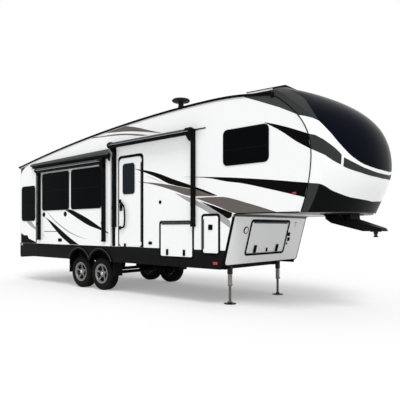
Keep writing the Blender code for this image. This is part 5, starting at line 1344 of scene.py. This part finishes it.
def headPiece(low, high, seat, axis, radius, swell):
    # Casting that carries the roll's end, and its round spring cover
    y, z = axis
    outer = y - radius - 0.004
    section = [(seat, z - 0.060), (seat, z + 0.050), (y + 0.01, z + radius + 0.018),
               (y - radius * 0.6, z + radius + 0.012), (outer, z + radius * 0.45), (outer, z - radius * 0.6),
               (y - 0.012, z - radius - 0.016), (seat - 0.062, z - 0.145), (seat - 0.030, z - 0.150)]
    stations = ((low, 0.93), (low + 0.006, 1), (high - 0.006, 1), (high, 0.93))
    cover = ((0.0, 0.0), (radius + 0.006, 0.0), (radius + 0.008, 0.006), (radius + 0.008, 0.020),
             (radius * 0.8, 0.026), (radius * 0.45, 0.030), (0.0, 0.031))
    far = high if swell > 0 else low
    turned = [(r, swell * d) for r, d in cover]
    return [polyLoft(section, stations), lathePiece(turned, (far, y, z), "X", 28)]


def makeAwning(name):
    row = awnings[name]
    (y, z), radius, seat, body = row["axis"], awnings["radius"], row["seat"], row["body"]
    x0, x1 = row["ends"]
    # The rolled cloth with its overlapping end, over the lead rail
    turns = []
    for step in range(41):
        angle = math.radians(205 - 9 * step)
        lap = radius - 0.0035 * step / 40
        turns.append((y - lap * math.cos(angle), z + lap * math.sin(angle)))
    cloth = polyLoft(turns, ((x0 + 0.02, 1), (x1 - 0.02, 1)))
    dress(cloth, f"{name}Roll", "fabric", body, "dark_shroud", softAngle=40)
    rail = [(y - radius - 0.0035, z - 0.004), (y - radius - 0.0035, z - 0.014),
            (y - radius * 0.86, z - radius * 0.62), (y - radius * 0.45, z - radius - 0.006),
            (y + 0.012, z - radius - 0.008), (y + 0.016, z - radius + 0.004), (y - 0.006, z - radius + 0.010),
            (y - radius * 0.62, z - radius * 0.50), (y - radius + 0.006, z - 0.010)]
    lead = polyLoft(rail, ((x0 + 0.03, 1), (x1 - 0.03, 1)))
    dress(lead, f"{name}LeadRail", "arm", body, "dark_shroud", softAngle=25)
    # A bright strip along the front of the lead rail: a painted highlight that stands in for the light on the
    # rail's edge
    corners = (x0 + 0.03, y - radius - 0.0050, z - 0.0065), (x1 - 0.03, y - radius - 0.0005, z - 0.0005)
    dress(boxPiece(*corners, 0.0008, 1), f"{name}RailHighlight", "edging", body, "dark_shroud")
    pieces = []
    for arm, (low, high, share, swell) in zip(row["arms"], row["heads"]):
        pieces += armPiece(arm, seat, row["foot"], z - 0.07)
        pieces += headPiece(low, high, seat, (y, z), radius * share, swell)
    dress(joinPieces(pieces), f"{name}Arms", "arm", body, "dark_shroud", (row["stands"],), 28)


topper = {
    "ends": (0.655, 3.750), "wall": -1.2375, "back": 0.0306, "tops": (2.955, 3.010), "drops": (2.882, 2.904),
    "roll": (-1.285, 2.858, 0.034), "brackets": (0.855, 3.738),
    # start, end, foot, head and how far out: the black box behind the roll, a dark sheet for painted shade between
    # topper and awning, and the skirting under it
    "shade": (0.880, 3.730, 2.800, 2.872, 0.062), "skirting": (1.02, 3.58, 2.786, 2.806, 0.082),
}


def topperBox(x0, x1, low, high, out, soft):
    wall = topper["wall"]
    return boxPiece((x0, wall - out, low), (x1, wall - topper["back"], high), soft, 1)


def makeTopper():
    x0, x1 = topper["ends"]
    wall, tops, drops = topper["wall"], topper["tops"], topper["drops"]
    # Cloth flap from the wall rail over the roll
    loops = []
    for x in evenly(x0, x1, 24):
        share = (x - x0) / (x1 - x0)
        top = tops[0] + (tops[1] - tops[0]) * share
        drop = drops[0] + (drops[1] - drops[0]) * share
        line = [(wall, top), (wall - 0.020, top - 0.001), (wall - 0.052, top - 0.014), (wall - 0.078, top - 0.036),
                (wall - 0.088, (top + drop) / 2 - 0.010), (wall - 0.089, drop)]
        back = [(a + 0.003, b - 0.003) for a, b in reversed(line)]
        loops.append([at(x, a, b) for a, b in line + back])
    dress(loftPiece(loops), "topperCloth", "fabric", "slide_out", "dark_shroud", softAngle=40)
    y, z, radius = topper["roll"]
    profile = ((0.0, x0 + 0.03), (radius, x0 + 0.03), (radius, x1 - 0.03), (0.0, x1 - 0.03))
    roll = lathePiece(profile, (0, y, z), "X", 28)
    housing = [topperBox(x, x + 0.011, 2.748, 2.905, 0.084, 0.002) for x in topper["brackets"]]
    # Painted shade: a black box filling the shaded gap behind the roll
    shade = topperBox(*topper["shade"], 0.003)
    dress(topperBox(*topper["skirting"], 0.004), "topperSkirting", "fabric", "slide_out", "dark_shroud")
    pieces = [roll, shade, *housing]
    dress(joinPieces(pieces), "topperRoll", "plastic", "slide_out", "dark_shroud", ("slide_topper",), 28)
    cover = ((0.0, 0.0), (radius * 0.6, 0.001), (radius + 0.004, 0.004), (radius + 0.005, 0.010),
             (radius + 0.005, 0.075), (radius, 0.078), (0.0, 0.078))
    end = lathePiece(cover, (x0 + 0.004, y, z - 0.012), "X", 28)
    dress(end, "topperEnd", "whitePlastic", "slide_out", "dark_shroud")


def makeAwnings():
    makeAwning("patio")
    makeAwning("slide")
    makeTopper()
    stations = [(end, 1) for end in awnings["railEnds"]]
    dress(polyLoft(awnings["wallRail"], stations), "wallRail", "plastic")


makeAwnings()
print("awnings")

# Roof cooler

cooler = {
    # strip and its end give the height and front end of the white band under the lid, a painted highlight
    "ends": (6.56, 7.40), "half": 0.355, "lid": (3.845, 3.822), "lidThick": 0.014, "strip": 0.030, "highlightEnd": 7.13,
    "louvres": (3.690, 3.712, 3.734, 3.756, 3.778),
    "fan": 6.98, "rings": (0.215, 0.180, 0.145, 0.110, 0.075, 0.040),
}


def coolerShell(half, low, high, soft, end=None):
    # A box between two sloping faces; low and high give a height for a place along the roof
    x0, x1 = cooler["ends"][0], end or cooler["ends"][1]
    loops = []
    middle = [(x, 0.0) for x in evenly(x0 + 0.05, x1 - 0.05, 6)]
    for x, inset in ((x0, soft), (x0 + soft, 0.0), *middle, (x1 - 0.03, 0.0), (x1 - 0.01, 0.008), (x1, 0.02)):
        box = (-half + inset, half - inset, low(x), high(x) - inset * 0.5)
        loops.append([at(x, y, z) for y, z in roundedLoop(box, soft, 3)])
    return loftPiece(loops)


def makeCooler():
    x0, x1 = cooler["ends"]

    half, thick, strip = cooler["half"], cooler["lidThick"], cooler["strip"]

    def lidTop(x):
        return cooler["lid"][0] + (cooler["lid"][1] - cooler["lid"][0]) * (x - x0) / (x1 - x0)

    def lidFoot(x):
        return lidTop(x) - thick

    def caseTop(x):
        return lidFoot(x) + 0.001

    pieces = [coolerShell(half - 0.008, lambda x: roofHeight(x) + 0.080, caseTop, 0.006),
              coolerShell(half + 0.010, lidFoot, lidTop, 0.005)]
    # Louvres along both sides and across the rear
    for z in cooler["louvres"]:
        for side in (-1, 1):
            ends = sorted((side * (half - 0.008), side * (half + 0.006)))
            pieces.append(boxPiece((x0 + 0.07, ends[0], z), (x1 - 0.16, ends[1], z + 0.007), 0.0015, 1))
        corners = (x0 - 0.006, -half + 0.06, z), (x0 + 0.004, half - 0.06, z + 0.007)
        pieces.append(boxPiece(*corners, 0.0015, 1))
    # Fan opening: rings and bars
    fanX, reach = cooler["fan"], cooler["rings"][0]
    top = lidTop(fanX)
    toFan, fromFan = Matrix.Translation(at(fanX, 0, 0)), Matrix.Translation(-at(fanX, 0, 0))
    for radius in cooler["rings"]:
        ring = ((radius, 0.0), (radius, 0.006), (radius - 0.006, 0.008), (radius - 0.008, 0.0), (radius, 0.0))
        pieces.append(lathePiece(ring, (fanX, 0, top - 0.002), "Z", 48))
    for index in range(4):
        turn = math.pi * index / 4
        bar = boxPiece((fanX - reach, -0.004, top - 0.001), (fanX + reach, 0.004, top + 0.005), 0.001, 1)
        bar.data.transform(toFan @ Matrix.Rotation(turn, 4, "Z") @ fromFan)
        pieces.append(bar)
    dress(joinPieces(pieces), "coolerCase", "shroud", "trailer", "dark_shroud", ("air_conditioner",), 25)
    # A white band under the lid, short of its front end: a painted highlight that stands in for the light line
    # along the lid's lower edge
    band = coolerShell(half, lambda x: lidFoot(x) - strip, caseTop, 0.004, cooler["highlightEnd"])
    dress(band, "coolerHighlightBand", "whitePlastic", "trailer", "dark_shroud")


makeCooler()
print("roof cooler")

# Lamps, dots, outlets and other small fittings on the walls

fasciaSpot, wallSpot = ("right", fasciaFace, "slide_out"), ("right", halfWidth, "trailer")
skirtSpot, rearSpot = ("right", outerFace, "trailer"), ("rear", 0.0, "trailer")
leftWallSpot, leftSkirtSpot = ("left", halfWidth, "trailer"), ("left", outerFace, "trailer")
rearEdgeLamp = ((0.10, 0.930), 0.032, 0.020, 0.008, 0.012, "edging")
frontEdgeLamp = ((6.535, 0.744), 0.052, 0.026, 0.010, 0.014, "redLens")
markerPlaces = ((-1.08, 2.800), (-0.16, 2.830), (0.0, 2.830), (0.16, 2.830), (1.08, 2.800))
fittings = {
    # name: spot, centre, half width, half height, corner, depth, finish
    "speakerRear": (fasciaSpot, (1.207, 1.676), 0.050, 0.050, 0.050, 0.012, "plastic"),
    "speakerFront": (fasciaSpot, (2.112, 1.672), 0.052, 0.052, 0.052, 0.012, "plastic"),
    "slideOutlet": (fasciaSpot, (1.897, 1.069), 0.072, 0.032, 0.026, 0.014, "plastic"),
    "wallDot": (wallSpot, (5.183, 1.836), 0.030, 0.030, 0.030, 0.010, "plastic"),
    "wallOutlet": (wallSpot, (4.913, 1.058), 0.044, 0.024, 0.020, 0.014, "plastic"),
    "sideLampRear": (skirtSpot, *rearEdgeLamp),
    "sideLampFront": (skirtSpot, *frontEdgeLamp),
    "wallLamp": (wallSpot, (8.045, 1.872), 0.036, 0.014, 0.010, 0.012, "redLens"),
    "wallLampLeft": (leftWallSpot, (8.045, 1.872), 0.040, 0.018, 0.010, 0.012, "redLens"),
    "sideLampFrontLeft": (leftSkirtSpot, *frontEdgeLamp),
    "sideLampRearLeft": (leftSkirtSpot, *rearEdgeLamp),
    "powerInlet": (leftWallSpot, (0.62, 1.22), 0.085, 0.085, 0.018, 0.016, "whitePlastic"),
    "waterInlet": (leftWallSpot, (0.62, 1.45), 0.070, 0.070, 0.016, 0.014, "whitePlastic"),
    "fridgeVentLow": (leftWallSpot, (3.05, 1.16), 0.27, 0.12, 0.014, 0.016, "whitePlastic"),
    "heaterDoor": (leftWallSpot, (4.70, 1.19), 0.19, 0.17, 0.014, 0.014, "whitePlastic"),
    "plateHolder": (rearSpot, (0.55, 0.86), 0.16, 0.082, 0.010, 0.008, "plastic"),
    **{f"markerRear_{index}": (rearSpot, place, 0.045, 0.016, 0.010, 0.012, "redLens")
       for index, place in enumerate(markerPlaces)},
    "tailLampRight": (rearSpot, (1.00, 0.800), 0.125, 0.052, 0.052, 0.018, "redLens"),
    "tailLampLeft": (rearSpot, (-1.00, 0.800), 0.125, 0.052, 0.052, 0.018, "redLens"),
}
wallParts = {
    "plate": (0.40, 0.70, 0.785, 0.935),
    # seal beside the slide-out's front edge, black strip along its rear edge, seam of the skirt
    "seals": (((3.7585, -1.2262, 0.972), (3.822, -1.2204, 2.86)),
              ((3.8215, -1.2262, 0.972), (3.858, -1.2204, 1.366))),
    "strip": (0.836, 0.872, 0.972, 2.828),
    "seam": ((0.868, -outerFace - 0.0025, 0.655), (0.878, -outerFace + 0.001, 0.962)),
    # slats of the vent and of the heater door: heights, ends and how far out
    "slats": (((1.085, 1.115, 1.145, 1.175, 1.205, 1.235), 2.83, 3.27, 0.018),
              ((1.09, 1.12, 1.15), 4.56, 4.84, 0.015)),
}
# Painted highlight along the flares: a lighter tube on their upper edges stands in for the light falling there;
# each arc has its middle and its two angles
archHighlight = {"radius": 0.4285, "foot": 0.485, "proud": 0.0295, "tube": 0.0045,
            "arcs": ((2.61, 157, 29.3), (3.36, 150.7, 23))}


def makeFittings():
    for name, (spot, centre, wide, high, corner, depth, finish) in fittings.items():
        plane, face, body = spot
        box = boxRound(centre, wide, high)
        lens = finish == "redLens"
        base = ringPiece(box, corner, (0.006,) * 4, plane, face + 0.0003, depth * 0.6, 0.0012)
        cover = flatPiece([roundedLoop(box, corner, grow=-0.0012)], plane, face + 0.0003, depth, 0.003)
        slot = "black_plastic" if lens or finish == "plastic" else "white_gelcoat"
        dress(base, f"{name}Base", "plastic" if lens else finish, body, slot)
        pieces = [cover]
        if not lens:
            # A second, smaller step on the cover
            small = roundedLoop(box, corner, grow=-min(wide, high) * 0.42)
            pieces.append(flatPiece([small], plane, face + depth, 0.004, 0.0015))
        dress(joinPieces(pieces), name, finish, body, slot)
    plate = platePiece(wallParts["plate"], 0.012, "rear", 0.0125, 0.002, 0.0006)
    dress(plate, "blankPlate", "whitePlastic", "trailer", "white_gelcoat")
    slats = []
    for levels, x0, x1, proud in wallParts["slats"]:
        for z in levels:
            low, high = (x0, halfWidth + proud, z - 0.008), (x1, halfWidth + proud + 0.008, z + 0.004)
            slats.append(boxPiece(low, high, 0.002, 1))
    dress(joinPieces(slats), "ventSlats", "whitePlastic", "trailer", "white_gelcoat")
    seals = [boxPiece(*corners, 0.002, 1) for corners in wallParts["seals"]]
    dress(joinPieces(seals), "slideSeal", "seal")
    strip = platePiece(wallParts["strip"], 0.003, "right", fasciaFace, 0.004, 0.001)
    dress(strip, "fasciaEdge", "seal", "slide_out")
    # Painted highlight: a lighter tube along the top of each flare
    for side, label in ((-1, "right"), (1, "left")):
        line = []
        radius, y = archHighlight["radius"], side * (outerFace + archHighlight["proud"])
        for middle, start, end in archHighlight["arcs"]:
            for turn in evenly(start, end, 24):
                angle = math.radians(turn)
                line.append((middle + radius * math.cos(angle), y, archHighlight["foot"] + radius * math.sin(angle)))
        dress(tubePiece(line, archHighlight["tube"]), f"archHighlightTube_{label}", "flareHighlight")
    dress(boxPiece(*wallParts["seam"], 0.001, 1), "skirtSeam", "plastic")


makeFittings()
print("fittings")

# Wheels: modelled once at the right front hub, then copied to the others

wheel = {
    "hub": (3.28, -1.03, 0.36), "spacing": 0.75, "steps": 90, "spokes": 5, "nutCircle": 0.048,
    # radius and distance outwards from the middle of the tyre
    "sidewall": ((0.1962, 0.0985), (0.2035, 0.1045), (0.213, 0.1070), (0.2205, 0.1105), (0.232, 0.1100),
                 (0.236, 0.1118), (0.262, 0.1122), (0.290, 0.1120), (0.302, 0.1106), (0.305, 0.1118),
                 (0.309, 0.1118), (0.312, 0.1100), (0.327, 0.1065), (0.338, 0.1015), (0.346, 0.0950),
                 (0.352, 0.0880), (0.3562, 0.0795)),
    "tread": ((0.3588, 0.070), (0.3592, 0.058), (0.3515, 0.0565), (0.3515, 0.0490), (0.3596, 0.0475),
              (0.3598, 0.022), (0.3520, 0.0205), (0.3520, 0.0135), (0.36, 0.012)),
    # radius, distance outwards and half width of a spoke
    "face": ((0.034, 0.0860, 0.012), (0.052, 0.0850, 0.018), (0.066, 0.0800, 0.022), (0.080, 0.0730, 0.0235),
             (0.094, 0.0715, 0.0215), (0.112, 0.0735, 0.0195), (0.132, 0.0780, 0.0195), (0.150, 0.0850, 0.0225),
             (0.166, 0.0920, 0.0270), (0.178, 0.0975, 0.034), (0.1885, 0.1015, 0.040)),
    "openings": (0.079, 0.167),
    # radius and distance along the hub's axis, outwards is minus
    "lip": ((0.186, -0.0985), (0.190, -0.1035), (0.197, -0.1072), (0.2140, -0.1095), (0.2175, -0.1070),
            (0.2155, -0.1035), (0.1985, -0.1000), (0.1945, -0.0960), (0.1915, -0.080), (0.178, -0.060),
            (0.176, 0.060), (0.190, 0.085), (0.1955, 0.0990), (0.2085, 0.1015), (0.2085, 0.1045), (0.190, 0.1030),
            (0.184, 0.085), (0.170, 0.060), (0.170, -0.060), (0.183, -0.085), (0.186, -0.0985)),
    "dome": ((0.0, -0.1045), (0.012, -0.1040), (0.024, -0.1010), (0.031, -0.0960), (0.0335, -0.0900),
             (0.0345, -0.0830), (0.0, -0.0830)),
    "nut": ((0.0, -0.098), (0.0055, -0.097), (0.0085, -0.093), (0.0092, -0.078), (0.0, -0.078)),
    "drum": ((0.026, -0.050), (0.060, -0.052), (0.075, -0.040), (0.080, -0.030), (0.146, -0.028), (0.152, -0.022),
             (0.152, 0.040), (0.026, 0.040)),
}


def tyrePiece():
    outline = wheel["sidewall"] + wheel["tread"]
    right = [(radius, -out) for radius, out in outline]
    left = [(radius, out) for radius, out in reversed(outline)]
    piece = lathePiece(right + left + [left[-1], right[0]], wheel["hub"], "Y", wheel["steps"])
    # Shoulder blocks: every third face across the outer ribs is sunk
    centre = at(*wheel["hub"])

    def isGroove(face):
        place = face.center - centre
        turn = math.degrees(math.atan2(place.z, place.x)) % 360
        index = int(turn / (360 / wheel["steps"]))
        across = abs(place.y)
        ribs = (0.058 < across < 0.098 and index % 3 == 0) or (0.022 < across < 0.0475 and index % 3 == 1)
        return math.hypot(place.x, place.z) > 0.341 and ribs

    pickFaces(piece, isGroove)
    bpy.ops.mesh.extrude_region_shrink_fatten(TRANSFORM_OT_shrink_fatten={"value": -0.0055})
    bpy.ops.object.mode_set(mode="OBJECT")
    return piece


def spokePiece():
    rows, sector = wheel["face"], 2 * math.pi / wheel["spokes"]
    perSpoke = 14
    columns = wheel["spokes"] * perSpoke
    centre = at(*wheel["hub"])

    def where(s, t):
        column, row = round(s * columns), round(t * (len(rows) - 1))
        radius, out, halfSpoke = rows[row]
        part = math.asin(halfSpoke / radius)
        spoke, step = divmod(column, perSpoke)
        half = perSpoke // 2
        if step <= half:
            angle = -part + 2 * part * step / half
        else:
            angle = part + (sector - 2 * part) * (step - half) / half
        # A shallow channel down the middle of each spoke
        channel = 0.0035 if 2 <= step <= half - 2 and 3 <= row <= 8 else 0.0
        turn = spoke * sector + angle
        return centre + Vector((radius * math.sin(turn), -out + channel, radius * math.cos(turn)))

    piece = gridPiece(columns, len(rows) - 1, where)

    def isOpening(face):
        place = face.center - centre
        radius = math.hypot(place.x, place.z)
        turn = math.atan2(place.x, place.z) % sector
        row = min(rows, key=lambda entry: abs(entry[0] - radius))
        part = math.asin(row[2] / row[0])
        return wheel["openings"][0] < radius < wheel["openings"][1] and part < turn < sector - part

    pickFaces(piece, isOpening)
    bpy.ops.mesh.delete(type="FACE")
    bpy.ops.mesh.select_all(action="SELECT")
    bpy.ops.mesh.remove_doubles(threshold=0.0001)
    bpy.ops.mesh.normals_make_consistent(inside=False)
    bpy.ops.object.mode_set(mode="OBJECT")
    facing = sum(face.normal.y * face.area for face in piece.data.polygons)
    applyModifier(piece, "SOLIDIFY", thickness=0.013, offset=-1 if facing < 0 else 1)
    applyModifier(piece, "SUBSURF", levels=1, render_levels=1)
    return piece


def makeWheels():
    x, y, z = wheel["hub"]
    rim, lip = spokePiece(), lathePiece(wheel["lip"], wheel["hub"], "Y", 72)
    bright = [lathePiece(wheel["dome"], wheel["hub"], "Y", 32)]
    for index in range(6):
        turn, radius = 2 * math.pi * index / 6, wheel["nutCircle"]
        place = (x + radius * math.sin(turn), y, z + radius * math.cos(turn))
        bright.append(lathePiece(wheel["nut"], place, "Y", 6))
    bright = joinPieces(bright)
    drum = lathePiece(wheel["drum"], wheel["hub"], "Y", 48)
    tyre = tyrePiece()
    kinds = (("tyre", tyre, "rubber", "tyre"), ("rim", rim, "alloy", "wheel_alloy"),
             ("rimLip", lip, "rimLip_", "wheel_alloy"), ("hubBright", bright, "chrome", "wheel_alloy"),
             ("brakeDrum", drum, "drum", "black_steel"))
    centre = at(x, y, z)
    toHub, fromHub = Matrix.Translation(centre), Matrix.Translation(-centre)
    toLeft = Matrix.Translation((0, -2 * y, 0)) @ toHub @ Matrix.Rotation(math.pi, 4, "Z") @ fromHub
    for side, sideName in ((-1, "right"), (1, "left")):
        for end, endName in ((0, "front"), (-wheel["spacing"], "rear")):
            move = Matrix.Translation((end, 0, 0))
            if side > 0:
                move = move @ toLeft
            for kind, piece, finish, slotName in kinds:
                spot = f"{sideName}_{endName}"
                stands = (f"{kind}_{spot}",) if kind in ("tyre", "rim") else ()
                finish += sideName if finish.endswith("_") else ""
                dress(twinPiece(piece, move), f"{kind}Detail_{spot}", finish, f"wheel_{spot}", slotName, stands)
    for piece in (tyre, rim, lip, bright, drum):
        bpy.data.objects.remove(piece)


makeWheels()
print("wheels")

# Finishes of the nodes that stay

nodeFinish = {
    "wallRight": ("wall_right", "entry_door"), "wallLeft": ("wall_left",), "white": ("rear_wall", "slide_room"),
    "membrane": ("roof",), "board": ("floor",), "deck": ("bedroom_deck",), "panel": ("front_panel", "front_hatch"),
    "skirt": ("skirt_right", "skirt_left", "underbelly"),
    "steel": ("chassis_rail_left", "chassis_rail_right", "front_sill", "rear_bumper", "springs_left",
              "springs_right", "axle_front", "axle_rear", "pin_box"),
    "pinSteel": ("kingpin",), "leg": ("landing_leg_left", "landing_leg_right"),
    "glass": ("rear_side_window", "bedroom_window_right", "bedroom_window_left", "living_window", "galley_window",
              "tail_window", "slide_window_front", "slide_window_rear"),
    "doorGlass": ("entry_door_window",), "hatchRight": ("baggage_door_right", "utility_door"),
    "hatchLeft": ("baggage_door_left",), "shroud": ("tv_aerial",), "whitePlastic": ("galley_vent", "bath_vent"),
    "zinc": ("rear_ladder",),
}
for finish, nodeNames in nodeFinish.items():
    for nodeName in nodeNames:
        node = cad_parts[nodeName]
        node.data.materials.clear()
        node.data.materials.append(paint[finish])
print("node finishes")
